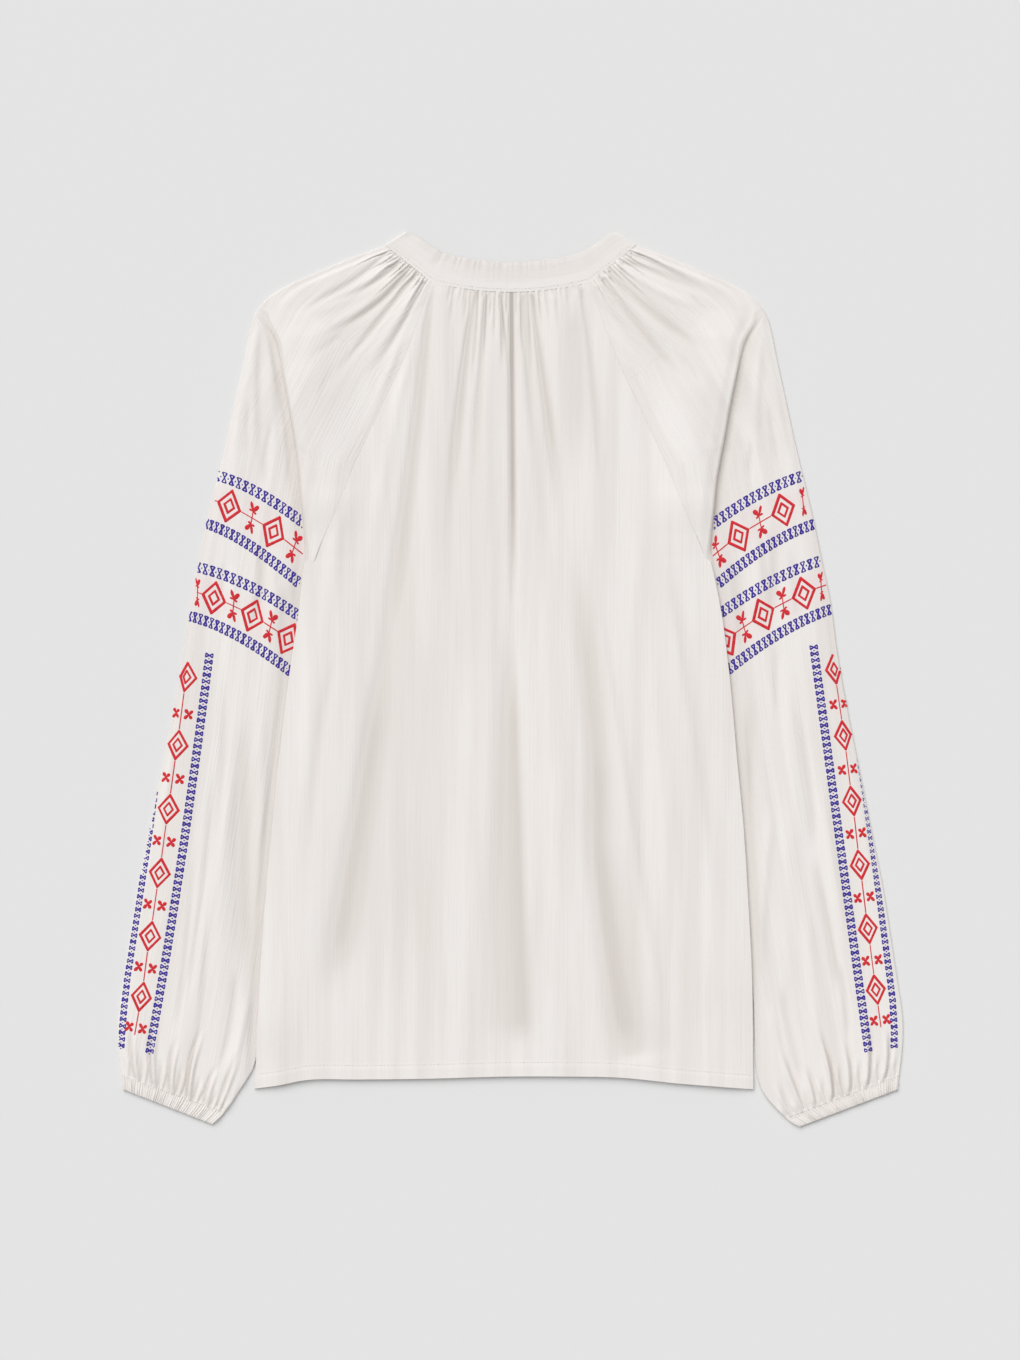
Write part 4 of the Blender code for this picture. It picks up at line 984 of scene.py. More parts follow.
def cuff_shell(side):
    """An elastic casing: a flattened ring, ribbed all round, that draws in between its ribs."""
    rows = []
    for share in np.linspace(-CUFF_OVERLAP, 1, CUFF_ROWS):
        inner, outer = arm_ends(CUFF_SEAM + share, side)
        length = math.dist(inner, outer)
        along = (outer - inner) / length
        places = np.linspace(PAIR_REACH, length - PAIR_REACH, RIB_POINTS * CUFF_RIBS + 1)
        plan = inner + np.outer(places, along)
        number = places / length * CUFF_RIBS
        uneven = 0.32 + 0.16 * np.sin(number * 1.7 + 0.6) + 0.14 * np.sin(number * 0.63 + 2)
        wander = number + 0.25 * np.sin(number * 0.9) + 0.2 * share * np.sin(number * 2.3)
        bulge = math.sin(math.pi * min(max(share, 0.02), 0.98)) ** 0.5
        ribs = 1.15 * uneven * (1 + np.cos(2 * math.pi * wander)) * (0.55 + 0.45 * bulge) + 0.5 * bulge
        back = np.column_stack([side * plan[:, 0], plan[:, 1], FLOOR_PAIR + HALF_PAIR - 0.15 + ribs, ribs])
        places = np.linspace(length - PAIR_REACH, PAIR_REACH, CUFF_FRONT_POINTS)
        plan = inner + np.outer(places, along)
        height = np.full(len(places), FLOOR_PAIR - HALF_PAIR)
        front = np.column_stack([side * plan[:, 0], plan[:, 1], height, np.ones(len(places))])
        outer_turn = edge_turn(back[-1], front[0], along, side)
        rows.append(np.array([*back, *outer_turn, *front, *edge_turn(front[-1], back[0], -along, side)]))
    rows = np.array(rows)
    points = rows[:, :, :3]
    # Painted shade between the ribs.
    hollow = np.clip(0.85 - rows[:, :, 3], 0, 1) * 1.5
    around = np.cumsum(np.r_[0, np.linalg.norm(np.diff(points[0], axis=0), axis=1)])
    return Shell(points, around, lengths_down(points), hollow, closed=True)


def band_row(table, neck, at, height, side=1):
    """Points across the neckband, from its seam to its free edge, with the painted shade that each gets in
    the hollows of the ripples, along the seam and in the notch.
    """
    seam_x = float(read_row(table, "seam_x", at))
    seam = np.array([seam_x, float(neck_y(neck, seam_x))])
    free = read_point(table, "free", at)
    across = (free - seam) / math.dist(free, seam)
    near_fold = min(at, len(BAND_BACK) - 1 - at) if table is BAND_BACK else at
    free = free - (free - seam) * 0.09 * (1 - float(ease(near_fold, 0, 0.6))) ** 2
    ripple = float(read_row(table, "ripple", at))
    phase = 2 * math.pi * free[0] / BAND_RIPPLE_PITCH
    notch = math.exp(-(((free[0] - NOTCH_X) / NOTCH_WIDTH) ** 2)) * (table is BAND_BACK)
    free = free + across * (0.7 * ripple * math.sin(phase) - NOTCH_DEPTH * notch)
    shares = np.r_[0, np.linspace(0.012, 0.988, BAND_COLUMNS - 2), 1]
    plan = seam + np.outer(shares, free - seam)
    fine = math.sin(2.6 * phase + 1.3 * math.sin(phase)) * ripple
    wave = (0.4 * fine + 0.25 * math.sin(0.73 * phase)) * shares**3
    roll = 0.2 * np.exp(-(((shares - 0.93) / 0.09) ** 2)) - 0.04 * (1 - ease(shares, 0, 0.06))
    z = height + wave + (roll - 0.5 * notch * ease(shares, 0.4, 0.7)) * (height > BAND_WALL)
    # Painted shade in the troughs of the ripples near the free edge, along the seam and in the notch.
    hollow = np.clip(-fine, 0, 1) * shares**4 * 0.6 + 0.1 * (1 - ease(shares, 0, 0.05))
    hollow = hollow + 1.2 * notch * ease(shares, 0.4, 0.7)
    return np.column_stack([side * plan[:, 0], plan[:, 1], z, hollow])


def neckband_shell():
    """One long strip: from the middle of the front, over the back, to the middle of the front again."""
    front_height = BAND_WALL / 2
    back_height = front_height + BAND_WALL + LAYER_GAP
    front_places = np.linspace(len(BAND_FRONT) - 1, 0, BAND_FRONT_ROWS)
    back_places = np.linspace(0, len(BAND_BACK) - 1, BAND_BACK_ROWS)
    radius = (back_height - front_height) / 2
    rows = [band_row(BAND_FRONT, FRONT_NECK, at, front_height, -1) for at in front_places]
    back = [band_row(BAND_BACK, BACK_NECK, at, back_height) for at in back_places]
    right = [band_row(BAND_FRONT, FRONT_NECK, at, front_height) for at in front_places[::-1]]
    for before, after, follows in ((rows[-1], back[0], back), (back[-1], right[0], right)):
        side = np.sign(before[0, 0])
        across = (before[-1] - before[0])[:2]
        outward = np.abs([across[1], across[0]]) / np.linalg.norm(across)
        for angle in np.linspace(0, math.pi, 8)[1:-1]:
            points = before + (after - before) * (1 - math.cos(angle)) / 2
            points[:, 0] += outward[0] * side * radius * math.sin(angle)
            points[:, 1] += outward[1] * radius * math.sin(angle)
            rows.append(points)
        rows += follows
    rows = np.array(rows)
    points = rows[:, :, :3]
    across = np.broadcast_to(np.linspace(0, BAND_HEIGHT, points.shape[1]), points.shape[:2])
    return Shell(points, across, lengths_down(points), rows[:, :, 3])


# Thread


class Threads:
    """Raised strips of thread, laid on a surface of cloth stroke by stroke and joined into one mesh."""

    def __init__(self, surface, lift):
        self.surface, self.lift = surface, lift
        self.points, self.faces, self.uvs = [], [], []
        self.strokes = 0

    def height(self, x, y, below):
        """The height of the cloth at a spot, seen from below or from above."""
        origin = Vector((x, y, RAY_BELOW if below else RAY_ABOVE))
        hit = self.surface.ray_cast(origin, Vector((0, 0, 1 if below else -1)))[0]
        return None if hit is None else hit.z

    def stroke(self, line, width, below=False, taper=1.0, crown=0.3):
        """A strip along a line of plan points, crowned in its middle. taper is its width at its end."""
        line = np.asarray(line, float)
        runs = np.linalg.norm(np.diff(line, axis=0), axis=1)
        length = runs.sum()
        if length < 1e-6:
            return
        end = min(STROKE_END, length / 4)
        places = np.r_[0, np.linspace(end, length - end, max(2, math.ceil(length / STROKE_STEP) + 1)), length]
        knots = np.r_[0, np.cumsum(runs)]
        x, y = np.interp(places, knots, line[:, 0]), np.interp(places, knots, line[:, 1])
        heading = np.column_stack([np.gradient(x, places), np.gradient(y, places)])
        heading = heading / np.linalg.norm(heading, axis=1)[:, None]
        first = len(self.points)
        self.strokes += 1
        lift = self.lift + OVERLAP * (self.strokes % 4)
        sign = -1 if below else 1
        for i, place in enumerate(places):
            half = width / 2 * (1 + (taper - 1) * place / length)
            top = crown * 0.8 if 0 < i < len(places) - 1 else -STROKE_SINK
            for share, rise in ((-1, -STROKE_SINK), (-0.55, top), (0.55, top), (1, -STROKE_SINK)):
                offset = share * half
                spot_x, spot_y = x[i] - heading[i, 1] * offset, y[i] + heading[i, 0] * offset
                z = self.height(spot_x, spot_y, below)
                if z is None:
                    z = self.height(x[i], y[i], below)
                if z is None:
                    del self.points[first:], self.uvs[first:]
                    return
                self.points.append((spot_x, spot_y, z + sign * (lift + rise)))
                self.uvs.append((place, offset))
        for i in range(len(places) - 1):
            for strand in range(3):
                a, b = first + 4 * i + strand, first + 4 * (i + 1) + strand
                self.faces.append((a, a + 1, b + 1, b) if below else (a, b, b + 1, a + 1))

    def build(self, name, material):
        corners = np.array(self.uvs)[np.array(self.faces).reshape(-1)]
        piece = add_mesh(name, self.points, self.faces, corners, material)
        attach(piece, BODY)
        return piece


class Route:
    """A curve of the plan along which motifs are laid, in places along it and offsets across it."""

    def __init__(self, side, curve, backwards=0.0, forwards=0.0, lean=0.0, wraps=False):
        t = np.linspace(-backwards, 1 + forwards, 160)
        self.side, self.lean, self.wraps = side, lean, wraps
        self.x, self.y = curve_points(curve, t).T
        steps = np.hypot(np.diff(self.x), np.diff(self.y))
        self.at = np.r_[0, np.cumsum(steps)]
        self.at = self.at - np.interp(0.0, t, self.at)
        self.start, self.end = self.at[0], self.at[-1]

    def spot(self, place, offset):
        """A point beside the route. A positive offset lies towards the sleeve's outer edge or the neck."""
        place = place + self.lean * offset
        x, y = np.interp(place, self.at, self.x), np.interp(place, self.at, self.y)
        ahead = min(max(place, self.start) + 1, self.end)
        behind = ahead - 1.5
        run_x = np.interp(ahead, self.at, self.x) - np.interp(behind, self.at, self.x)
        run_y = np.interp(ahead, self.at, self.y) - np.interp(behind, self.at, self.y)
        size = math.hypot(run_x, run_y)
        return x - self.side * run_y / size * offset, y + self.side * run_x / size * offset


def lay(threads, route, line, width, below=False, taper=1.0):
    """A stroke given as (place, offset) on a route. Past the sleeve's edge it turns under or is left out."""
    plan = [route.spot(place, offset) for place, offset in line]
    for parts, under in split_at_edge(plan, route.side, below, route.wraps):
        threads.stroke(parts, width, under, taper)


def hidden(x, y, side, below):
    """Whether the body, or the fold beside the armhole, lies over a spot of the plan."""
    inset = HIDDEN_STITCHES if y < ARMPIT_Y - 30 else 0.7
    return not below and abs(x) < float(side_x(side, y)) + inset


def split_at_edge(plan, side, below, wraps):
    """Cuts a line where it passes under the body, or passes the outer edge and turns to the other layer."""
    fine = []
    for start, end in zip(plan[:-1], plan[1:]):
        count = max(2, math.ceil(math.dist(start, end)) + 1)
        fine += [tuple(np.add(start, np.subtract(end, start) * share)) for share in np.linspace(0, 1, count)]
    parts, current, state = [], [], None
    for x, y in fine:
        edge = float(outline_x(side, y)) - EDGE_INSET
        outside = abs(x) > edge
        now = None if hidden(x, y, side, below) or (outside and not wraps) else outside
        if now != state and len(current) > 1:
            parts.append((current, below != state))
        if now != state:
            current = []
        if now is not None:
            current.append((side * (2 * edge - abs(x)), y) if outside else (x, y))
        state = now
    if len(current) > 1:
        parts.append((current, below != state))
    return parts


def cross_border(threads, route, first, last, offset_at, width_at, below=False):
    """A row of crosses as tall as the border is wide, closed by a bar at both ends, and dots between them."""
    for number in range(int((last - first) / CROSS_PITCH) + 1):
        place = first + number * CROSS_PITCH
        centre, half = offset_at(place), width_at(place) / 2
        width = CROSS_STROKE * (1 + 0.15 * math.sin(2.7 * number)) * min(1.0, half / 3.2)
        for along in (-1, 1):
            for across in (-1, 1):
                tip = (place + along * CROSS_REACH, centre + across * (half - width * 0.4))
                lay(threads, route, [(place, centre), tip], width, below, 1.25)
        for across in (-1, 1):
            bar = centre + across * (half - width * 0.5)
            lay(threads, route, [(place - CROSS_REACH, bar), (place + CROSS_REACH, bar)], width * 0.9, below)
        between = place + CROSS_PITCH / 2
        lay(threads, route, [(between - 0.5, centre), (between + 0.5, centre)], width, below)


def diamond(threads, route, place, offset, along, low, high, width, below=False):
    """A double diamond with an open middle. low and high are its half widths on each side of the offset."""
    for scale, stroke in ((1.0, width), (0.45, width * 0.8)):
        corners = [
            (place + along * scale, offset), (place, offset + high * scale),
            (place - along * scale, offset), (place, offset - low * scale),
        ]
        for start, end in zip(corners, corners[1:] + corners[:1]):
            past = np.subtract(end, start) * 0.35 * stroke / math.dist(start, end)
            lay(threads, route, [np.subtract(start, past), np.add(end, past)], stroke, below)


def leaf(threads, route, place, offset, angle, length, width, below=False, squeeze=(1.0, 1.0)):
    """A leaf of satin stitch: narrow at its root, fullest past its middle and blunt at its tip."""
    root = np.array([place, offset])
    run = np.array([math.cos(angle), math.sin(angle)]) * squeeze * length
    width = width * math.sqrt(min(squeeze))
    lay(threads, route, [root, root + run * 0.5], width * 0.4, below, 2.5)
    lay(threads, route, [root + run * 0.45, root + run * 0.8], width, below)
    lay(threads, route, [root + run * 0.75, root + run], width, below, 0.5)


def band_sprig(threads, route, place, squeeze=1.0, below=False):
    """A stem across an arm band, with a broad and a slender leaf and two small buds at each end."""
    shape = (squeeze, 1.0)
    for sign in (-1, 1):
        half_turn = 0.0 if sign > 0 else math.pi
        root = (place + sign * 0.8 * squeeze, sign * 5.0)
        lay(threads, route, [(place, 0), root], STEM_WIDTH, below)
        for angle, length, width in ((116, 6.8, 4.2), (58, 7.8, 2.5), (196, 3.2, 1.8), (4, 3.8, 1.8)):
            leaf(threads, route, *root, half_turn + math.radians(angle), length, width, below, shape)


def stripe_flowers(threads, route, place, offset, low, high):
    """A pair of four-petal flowers, one on each side of the stem."""
    for sign, half in ((-1, low), (1, high)):
        centre = (place, offset + sign * half * 0.72)
        shape = (1.0, half / 8.6)
        for petal, length in ((40, 5.4), (140, 5.2), (222, 4.6), (318, 4.8)):
            leaf(threads, route, *centre, math.radians(90 + sign * (petal - 90)), length, 3.1, False, shape)


def embroider_arm_band(red, violet, band):
    """The two borders of an arm band and its diamonds, sprigs and stem, on the back and the underside."""
    route = Route(band.side, band, 0.1, 0.15, BAND_LEAN)
    motifs = [band.first_motif + number * band.pitch for number in range(-1, band.diamonds)]
    for below in (False, True):
        for sign in (-1, 1):
            cross_border(
                violet, route, BAND_START, route.end - 4, lambda place: sign * BAND_HALF_WIDTH,
                lambda place: BAND_BORDER_WIDTH, below,
            )
        if band.edge_sprig:
            band_sprig(red, route, band.edge_sprig, 0.45, below)
        for place in motifs:
            if place > 0:
                across = BAND_DIAMOND_ACROSS
                diamond(red, route, place, 0, BAND_DIAMOND_ALONG, across, across, BAND_DIAMOND_STROKE, below)
                band_sprig(red, route, place + band.pitch / 2, 1.0, below)
            reach = [max(place + BAND_DIAMOND_ALONG + 1.5, 0), place + band.pitch - BAND_DIAMOND_ALONG - 1.5]
            lay(red, route, [(reach[0], 0), (reach[1], 0)], STEM_WIDTH, below)


def embroider_stripe(red, violet, stripe):
    """The stripe along an arm, whose outer border comes round the sleeve's edge."""
    route = Route(stripe.side, stripe, wraps=True)
    motifs, border = STRIPE_MOTIFS[stripe.side], STRIPE_BORDERS[stripe.side]

    def read(table, name, knots, place):
        return float(np.interp(place, column(table, knots), column(table, name)))

    def middle(place):
        return read(motifs, "middle", "diamond", place)

    cross_border(violet, route, 2.0, route.end, lambda place: 0.0, lambda place: INNER_BORDER_WIDTH)
    cross_border(
        violet, route, 2.0, route.end, lambda place: read(border, "offset", "place", place),
        lambda place: read(border, "width", "place", place),
    )
    for motif, after in zip(motifs, [*motifs[1:], None]):
        low, high = (read(motifs, name, "diamond", motif.flowers) for name in ("inner", "outer"))
        diamond(
            red, route, motif.diamond, motif.middle, STRIPE_DIAMOND_ALONG, motif.inner, motif.outer,
            STRIPE_DIAMOND_STROKE,
        )
        stripe_flowers(red, route, motif.flowers, middle(motif.flowers), low, high)
        line = [(motif.diamond + STRIPE_DIAMOND_ALONG + 1.5, motif.middle)]
        end = after.diamond - STRIPE_DIAMOND_ALONG - 1.5 if after else motif.flowers + 6
        line.append((end, middle(end)))
        lay(red, route, line, STEM_WIDTH)


# Sewing


def sew(name, shell, line, lift, material):
    """A row of small stitches along a line of the plan, laid on a shell."""
    threads = Threads(shell.surface(), lift)
    steps = np.r_[0, np.cumsum(np.linalg.norm(np.diff(line, axis=0), axis=1))]
    for start in np.arange(1.0, steps[-1] - STITCH, STITCH + STITCH_GAP):
        places = (start, start + STITCH)
        ends = np.column_stack([np.interp(places, steps, line[:, 0]), np.interp(places, steps, line[:, 1])])
        threads.stroke(ends, STITCH_WIDTH, crown=0.15)
    return threads.build("sewing_" + name, material)


# Materials


class Value:
    """An output socket of a material, on which sums and products of numbers add Math nodes."""

    def __init__(self, paint, socket):
        self.paint, self.socket = paint, socket

    def maths(self, operation, *operands):
        return self.paint.node("ShaderNodeMath", {"operation": operation}, dict(enumerate(operands)))

    def __add__(self, other):
        return self.maths("ADD", self, other)

    def __sub__(self, other):
        return self.maths("SUBTRACT", self, other)

    def __rsub__(self, other):
        return self.maths("SUBTRACT", other, self)

    def __mul__(self, other):
        return self.maths("MULTIPLY", self, other)

    __radd__ = __add__
    __rmul__ = __mul__

    def sine(self):
        return self.maths("SINE", self)

    def between(self, low, high):
        """The number, stretched so that low becomes 0 and high becomes 1, and kept inside them."""
        limits = {"From Min": low, "From Max": high}
        return self.paint.node("ShaderNodeMapRange", {"clamp": True}, {"Value": self, **limits})


class Paint:
    """A material and its node tree."""

    def __init__(self, name, roughness, sheen=0.0):
        self.material = bpy.data.materials.new(name)
        self.material.use_nodes = True
        self.tree = self.material.node_tree
        self.shader = self.tree.nodes["Principled BSDF"]
        self.shader.inputs["Metallic"].default_value = 0.0
        self.shader.inputs["Roughness"].default_value = roughness
        self.shader.inputs["Sheen Weight"].default_value = sheen
        self.shader.inputs["Specular IOR Level"].default_value = 0.25

    def node(self, kind, settings=None, inputs=None, output=0):
        """Adds a node: its settings come first, then the values or links of its sockets."""
        made = self.tree.nodes.new(kind)
        for name, value in (settings or {}).items():
            setattr(made, name, value)
        for name, value in (inputs or {}).items():
            self.put(made.inputs[name], value)
        return Value(self, made.outputs[output])

    def put(self, socket, value):
        if isinstance(value, Value):
            self.tree.links.new(value.socket, socket)
        else:
            socket.default_value = value

    def mix(self, share, first, second):
        """A colour that goes from first to second as share goes from 0 to 1."""
        made = self.tree.nodes.new("ShaderNodeMix")
        made.data_type = "RGBA"
        colours = [socket for socket in made.inputs if socket.type == "RGBA"]
        self.put(made.inputs["Factor"], share)
        self.put(colours[0], first)
        self.put(colours[1], second)
        return Value(self, next(socket for socket in made.outputs if socket.type == "RGBA"))

    def cloth_place(self):
        """The place across and along the cloth, in metres."""
        place = self.node("ShaderNodeUVMap", {"uv_map": "cloth"})
        across = self.node("ShaderNodeSeparateXYZ", inputs={"Vector": place}, output=0)
        along = self.node("ShaderNodeSeparateXYZ", inputs={"Vector": place}, output=1)
        return across, along

    def noise(self, across, along, wide, long):
        """Soft noise whose grain is that wide and long, in metres."""
        place = self.node("ShaderNodeCombineXYZ", inputs={"X": across * (1 / wide), "Y": along * (1 / long)})
        return self.node("ShaderNodeTexNoise", {"noise_dimensions": "2D"}, {
            "Vector": place, "Scale": 1.0, "Detail": 2.0, "Roughness": 0.5,
        })

    def finish(self, colour, height, depth_mm, strength):
        bump = self.node("ShaderNodeBump", inputs={
            "Height": height, "Distance": depth_mm * MM, "Strength": strength,
        })
        self.put(self.shader.inputs["Base Color"], colour)
        self.put(self.shader.inputs["Normal"], bump)
        return self.material


def linear(colour):
    """A colour property as a shader's four numbers."""
    return (*colour, 1.0)


def cloth_material(name, colours, crinkle, warmth=0.0):
    """Fine crinkled cotton: long narrow crinkles over a plain weave, with warm painted shade along the
    crinkles and broad folds and in its hollows.
    """
    paint = Paint(name, roughness=0.86, sheen=0.12)
    across, along = paint.cloth_place()
    narrow = paint.noise(across, along, 0.0015, 0.08)
    broad = paint.noise(across, along, 0.02, 0.3)
    cloudy = paint.noise(across, along, 0.05, 0.16)
    thread = 2 * math.pi / (WEAVE_PITCH * MM)
    warp, weft = (across * thread).sine(), (along * thread).sine()
    height = narrow * (0.9 * crinkle) + broad * (1.4 * crinkle) + warp * 0.06 + weft * 0.06
    hollow = paint.node("ShaderNodeAttribute", {"attribute_name": "hollow"}, output=2)
    warm = cloudy.between(0.35, 0.7) * (1 - warmth) + warmth
    base = paint.mix(warm, linear(colours.cloth), linear(colours.cloth_warm))
    # Painted shade along the narrow crinkles and the broad folds of the bump, and painted shade and shadow
    # where the shells mark it in their hollows, seams and hem and beside the body's edge, darkest in the
    # deepest folds.
    base = paint.mix(narrow.between(0.54, 0.8) * 0.22, base, linear(colours.cloth_painted_shade))
    base = paint.mix(broad.between(0.4, 0.7) * 0.45, base, linear(colours.cloth_painted_shade))
    base = paint.mix(hollow.between(0.0, 2.2) * 0.9, base, linear(colours.cloth_painted_shade))
    base = paint.mix(hollow.between(1.8, 4.5) * 0.8, base, linear(colours.cloth_painted_deep_shade))
    behind = paint.node("ShaderNodeAttribute", {"attribute_name": "tint"}, output=2)
    blush = paint.noise(across, along, 0.018, 0.03).between(0.38, 0.62)
    base = paint.mix(behind * blush * 0.5, base, linear(colours.cloth_blush))
    return paint.finish(base, height, 0.35, 0.75)


def thread_material(name, colour, dark):
    """Thread: strands lie side by side across each stroke, with painted shade in the lines between them."""
    paint = Paint(name, roughness=0.55, sheen=0.2)
    along, across = paint.cloth_place()
    strands = (along * (2 * math.pi / (STRAND_PITCH * MM))).sine()
    wander = paint.noise(along, across, 0.003, 0.003)
    worn = paint.mix(wander.between(0.35, 0.75), linear(colour), linear(dark))
    # Painted shade in the lines between the strands.
    rows = paint.mix(0.35 * (1 - strands.between(-1.0, -0.4)), worn, linear(dark))
    return paint.finish(rows, strands * 0.5 + wander * 0.5, 0.12, 0.6)


def floor_material(colours):
    paint = Paint("studio floor", roughness=0.95)
    place = paint.node("ShaderNodeNewGeometry")
    grain = paint.node("ShaderNodeTexNoise", inputs={"Vector": place, "Scale": 3.0, "Detail": 2.0})
    colour = paint.mix(grain * 0.04, linear(colours.floor), linear([0.97 * part for part in colours.floor]))
    return paint.finish(colour, grain, 0.01, 0.1)


def carried_over(name, material):
    """A CAD node that stands behind a finer piece still gets the finish of its cloth."""
    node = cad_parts[name]
    node.data.materials.clear()
    node.data.materials.append(material)


def stand_for(node, material):
    """A piece that replaces a CAD node: the node gets the piece's finish and is hidden."""
    carried_over(node, material)
    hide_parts(node)


# The add-on


class BlouseSizes(bpy.types.PropertyGroup):
    column_spacing: bpy.props.FloatProperty(
        name="Column spacing", description="Width of the shells' faces across the cloth",
        default=2.1 * MM, unit="LENGTH",
    )
    row_spacing: bpy.props.FloatProperty(
        name="Row spacing", description="Length of the shells' faces down the cloth",
        default=3.6 * MM, unit="LENGTH",
    )
    cloth_thickness: bpy.props.FloatProperty(
        name="Cloth thickness", description="Thickness of the cotton", default=0.5 * MM, unit="LENGTH",
    )
    crease_floor: bpy.props.FloatProperty(
        name="Loft", description="How far the loose cloth stands above the layer under it",
        default=1.5 * MM, unit="LENGTH",
    )
    crease_strength: bpy.props.FloatProperty(
        name="Crease strength", description="How strongly the tables' creases are raised", default=1.2,
    )
    light_strength: bpy.props.FloatProperty(
        name="Light", description="Strength of the studio's main light", default=2.17,
    )


class BlouseColours(bpy.types.PropertyGroup):
    cloth: bpy.props.FloatVectorProperty(
        name="Cloth", description="Off-white cotton", default=(0.875, 0.84, 0.813), subtype="COLOR",
    )
    cloth_warm: bpy.props.FloatVectorProperty(
        name="Warm cloth", description="Slightly warmer patches of the cotton", default=(0.865, 0.825, 0.788),
        subtype="COLOR",
    )
    # Colour of the painted shade along crinkles and folds and in soft hollows.
    cloth_painted_shade: bpy.props.FloatVectorProperty(
        name="Shaded cloth", description="Cotton in soft hollows", default=(0.74, 0.69, 0.65),
        subtype="COLOR",
    )
    # Colour of the painted shade in the deepest folds.
    cloth_painted_deep_shade: bpy.props.FloatVectorProperty(
        name="Deep hollows", description="Cotton in the deepest folds", default=(0.48, 0.43, 0.40),
        subtype="COLOR",
    )
    cloth_blush: bpy.props.FloatVectorProperty(
        name="Blush", description="Cotton over red thread that shows through", default=(0.84, 0.72, 0.72),
        subtype="COLOR",
    )
    red: bpy.props.FloatVectorProperty(
        name="Red thread", description="Thread of the diamonds and sprigs", default=(0.76, 0.022, 0.035),
        subtype="COLOR",
    )
    violet: bpy.props.FloatVectorProperty(
        name="Violet thread", description="Thread of the crosses", default=(0.05, 0.026, 0.36),
        subtype="COLOR",
    )
    sewing: bpy.props.FloatVectorProperty(
        name="Sewing thread", description="Off-white thread of the seams", default=(0.82, 0.785, 0.76),
        subtype="COLOR",
    )
    floor: bpy.props.FloatVectorProperty(
        name="Floor", description="Pale grey of the studio floor", default=(0.78, 0.78, 0.78),
        subtype="COLOR",
    )


class BLOUSE_OT_panels(bpy.types.Operator):
    """Make the back and front panels"""

    bl_idname = "blouse.panels"
    bl_label = "Body panels"

    def execute(self, context):
        sizes, colours = context.scene.blouse_sizes, context.scene.blouse_colours
        thickness = sizes.cloth_thickness / MM
        material = cloth_material("cotton of the body", colours, 1.0)
        shell = back_shell(sizes)
        back = shell.build("back_panel", material, thickness)
        hem_row = np.abs(shell.points[:, 0, 1] - shell.points[-1, 0, 1] - HEM_DEPTH).argmin()
        thread = thread_material("sewing thread", colours.sewing, SEWING_SHADE)
        sew("hem", shell, shell.points[hem_row, 2:-2, :2], thickness / 2, thread)
        stand_for("back", material)
        front = front_shell(sizes).build("front_panel", material, thickness)
        stand_for("front", material)
        return {"FINISHED"}


class BLOUSE_OT_sleeves(bpy.types.Operator):
    """Make both sleeves and embroider them"""

    bl_idname = "blouse.sleeves"
    bl_label = "Sleeves and embroidery"

    def execute(self, context):
        sizes, colours = context.scene.blouse_sizes, context.scene.blouse_colours
        material = cloth_material("cotton of the sleeves", colours, 1.5)
        thickness = sizes.cloth_thickness / MM
        red_material = thread_material("red thread", colours.red, RED_SHADE)
        violet_material = thread_material("violet thread", colours.violet, VIOLET_SHADE)
        for side in (-1, 1):
            name = side_name(side)
            shell = sleeve_shell(side, sizes)
            piece = shell.build("sleeve_" + name + "_cloth", material, thickness)
            stand_for("sleeve_" + name, material)
            surface = shell.surface()
            red, violet = Threads(surface, thickness / 2), Threads(surface, thickness / 2)
            for band in ARM_BANDS:
                if band.side == side:
                    embroider_arm_band(red, violet, band)
            for stripe in STRIPES:
                if stripe.side == side:
                    embroider_stripe(red, violet, stripe)
            red.build("embroidery_red_" + name, red_material)
            violet.build("embroidery_violet_" + name, violet_material)
        return {"FINISHED"}


class BLOUSE_OT_edges(bpy.types.Operator):
    """Make the elastic cuffs and the neckband"""

    bl_idname = "blouse.edges"
    bl_label = "Cuffs and neckband"

    def execute(self, context):
        sizes, colours = context.scene.blouse_sizes, context.scene.blouse_colours
        thickness = sizes.cloth_thickness / MM
        casing = cloth_material("cotton of the cuffs", colours, 0.8, 0.6)
        thread = thread_material("sewing thread of the edges", colours.sewing, SEWING_SHADE)
        for side in (-1, 1):
            name = side_name(side)
            shell = cuff_shell(side)
            seam = shell.points[CASING_SEAM_ROW, 4:RIB_POINTS * CUFF_RIBS - 3, :2]
            sew("cuff_" + name, shell, seam, thickness / 2, thread)
            piece = shell.build("cuff_" + name + "_casing", casing, thickness)
            stand_for("cuff_" + name, casing)
        band = cloth_material("cotton of the neckband", colours, 0.5)
        shell = neckband_shell()
        piece = shell.build("neckband_strip", band, 2 * thickness)
        on_back = shell.points[:, 2, 2] > BAND_WALL + LAYER_GAP
        sew("neckband", shell, shell.points[on_back, 2, :2][4:-4], thickness, thread)
        stand_for("neckband", band)
        return {"FINISHED"}


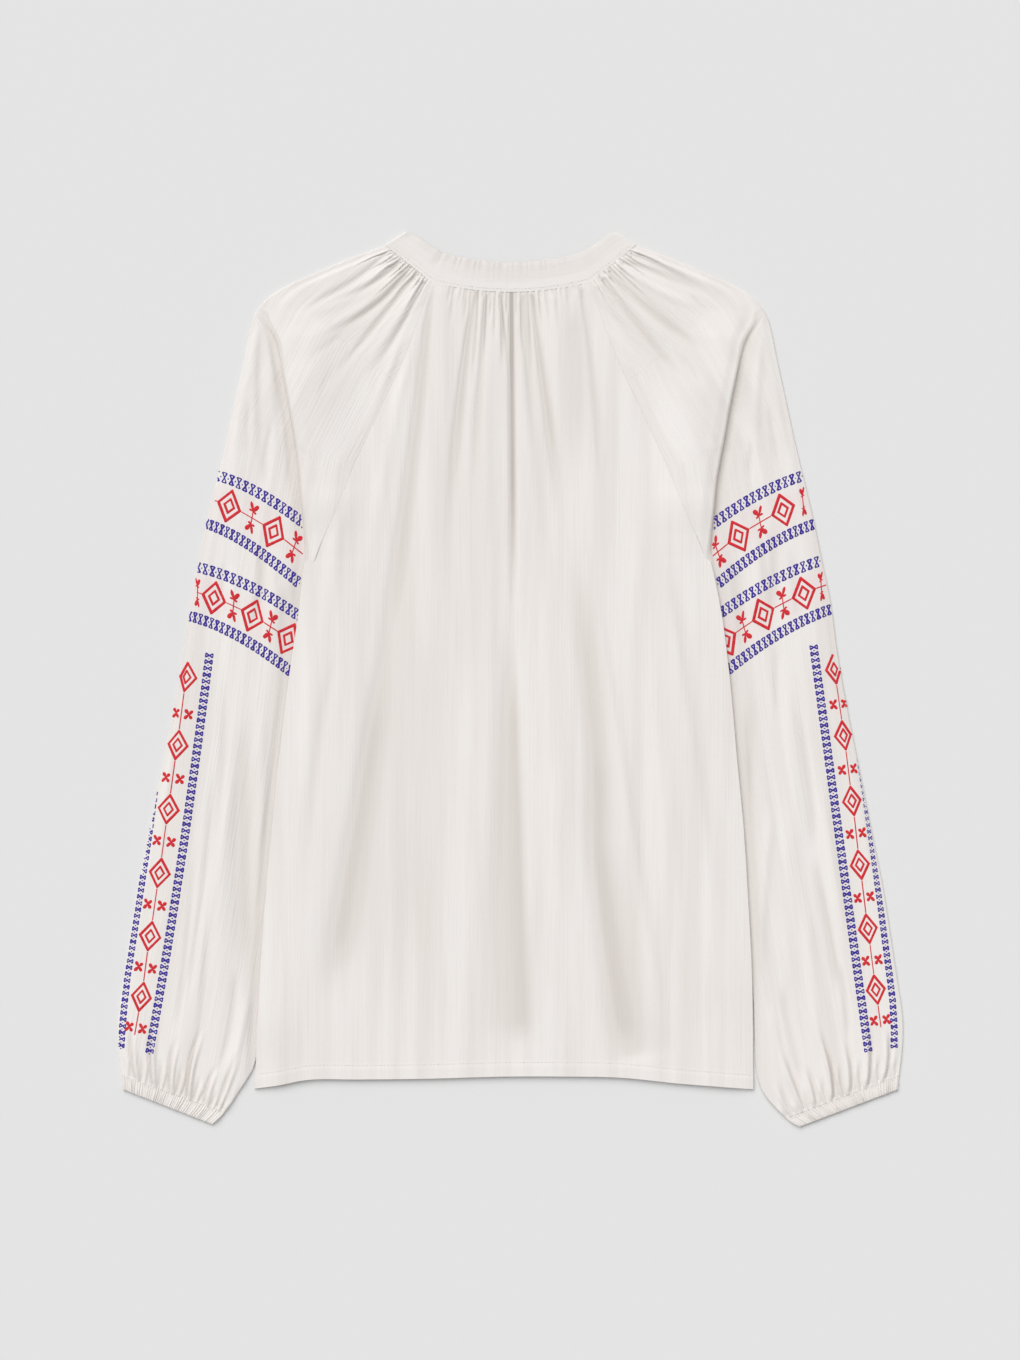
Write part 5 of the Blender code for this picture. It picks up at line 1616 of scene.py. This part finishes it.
class BLOUSE_OT_stage(bpy.types.Operator):
    """Make the floor, the lights and the camera"""

    bl_idname = "blouse.stage"
    bl_label = "Studio"

    def execute(self, context):
        scene = context.scene
        colours = scene.blouse_colours
        mesh = bpy.data.meshes.new("floor")
        corners = [(x * FLOOR_REACH_M, y * FLOOR_REACH_M, 0) for x, y in ((-1, -1), (1, -1), (1, 1), (-1, 1))]
        mesh.from_pydata(corners, [], [(0, 1, 2, 3)])
        mesh.materials.append(floor_material(colours))
        floor = bpy.data.objects.new("floor", mesh)
        scene.collection.objects.link(floor)

        sun = bpy.data.lights.new("window light", "SUN")
        sun.energy = scene.blouse_sizes.light_strength
        sun.angle = math.radians(SUN_SPREAD)
        lamp = bpy.data.objects.new("window light", sun)
        lamp.rotation_euler = [math.radians(angle) for angle in SUN_TILT]
        scene.collection.objects.link(lamp)

        world = bpy.data.worlds.new("studio")
        world.use_nodes = True
        sky = world.node_tree.nodes["Background"]
        sky.inputs["Color"].default_value = (1.0, 1.0, 1.0, 1.0)
        sky.inputs["Strength"].default_value = SKY_STRENGTH
        scene.world = world

        distance = SCREEN_LONG_SIDE_MM * MM * LENS_MM / SENSOR_MM
        camera_data = bpy.data.cameras.new("camera")
        camera_data.lens = LENS_MM
        camera_data.sensor_width = SENSOR_MM
        camera_data.clip_end = 20.0
        camera = bpy.data.objects.new("camera", camera_data)
        camera.location = (PHOTO_MIDDLE[0] * MM, PHOTO_MIDDLE[1] * MM, distance)
        scene.collection.objects.link(camera)
        scene.camera = camera
        scene.view_settings.view_transform = "Standard"
        return {"FINISHED"}


class BLOUSE_PT_panel(bpy.types.Panel):
    """The blouse's pieces and their sizes"""

    bl_label = "Blouse"
    bl_idname = "BLOUSE_PT_panel"
    bl_space_type = "VIEW_3D"
    bl_region_type = "UI"
    bl_category = "Blouse"

    def draw(self, context):
        layout = self.layout
        for group in (context.scene.blouse_sizes, context.scene.blouse_colours):
            for name in group.__annotations__:
                layout.prop(group, name)
        for operator in OPERATORS:
            layout.operator(operator.bl_idname)


OPERATORS = (BLOUSE_OT_panels, BLOUSE_OT_sleeves, BLOUSE_OT_edges, BLOUSE_OT_stage)
CLASSES = (BlouseSizes, BlouseColours, *OPERATORS, BLOUSE_PT_panel)


def register():
    for each in CLASSES:
        bpy.utils.register_class(each)
    bpy.types.Scene.blouse_sizes = bpy.props.PointerProperty(type=BlouseSizes)
    bpy.types.Scene.blouse_colours = bpy.props.PointerProperty(type=BlouseColours)


def unregister():
    del bpy.types.Scene.blouse_sizes
    del bpy.types.Scene.blouse_colours
    for each in reversed(CLASSES):
        bpy.utils.unregister_class(each)


def main():
    register()
    bpy.ops.blouse.panels()
    bpy.ops.blouse.sleeves()
    bpy.ops.blouse.edges()
    bpy.ops.blouse.stage()


if __name__ == "__main__":
    main()
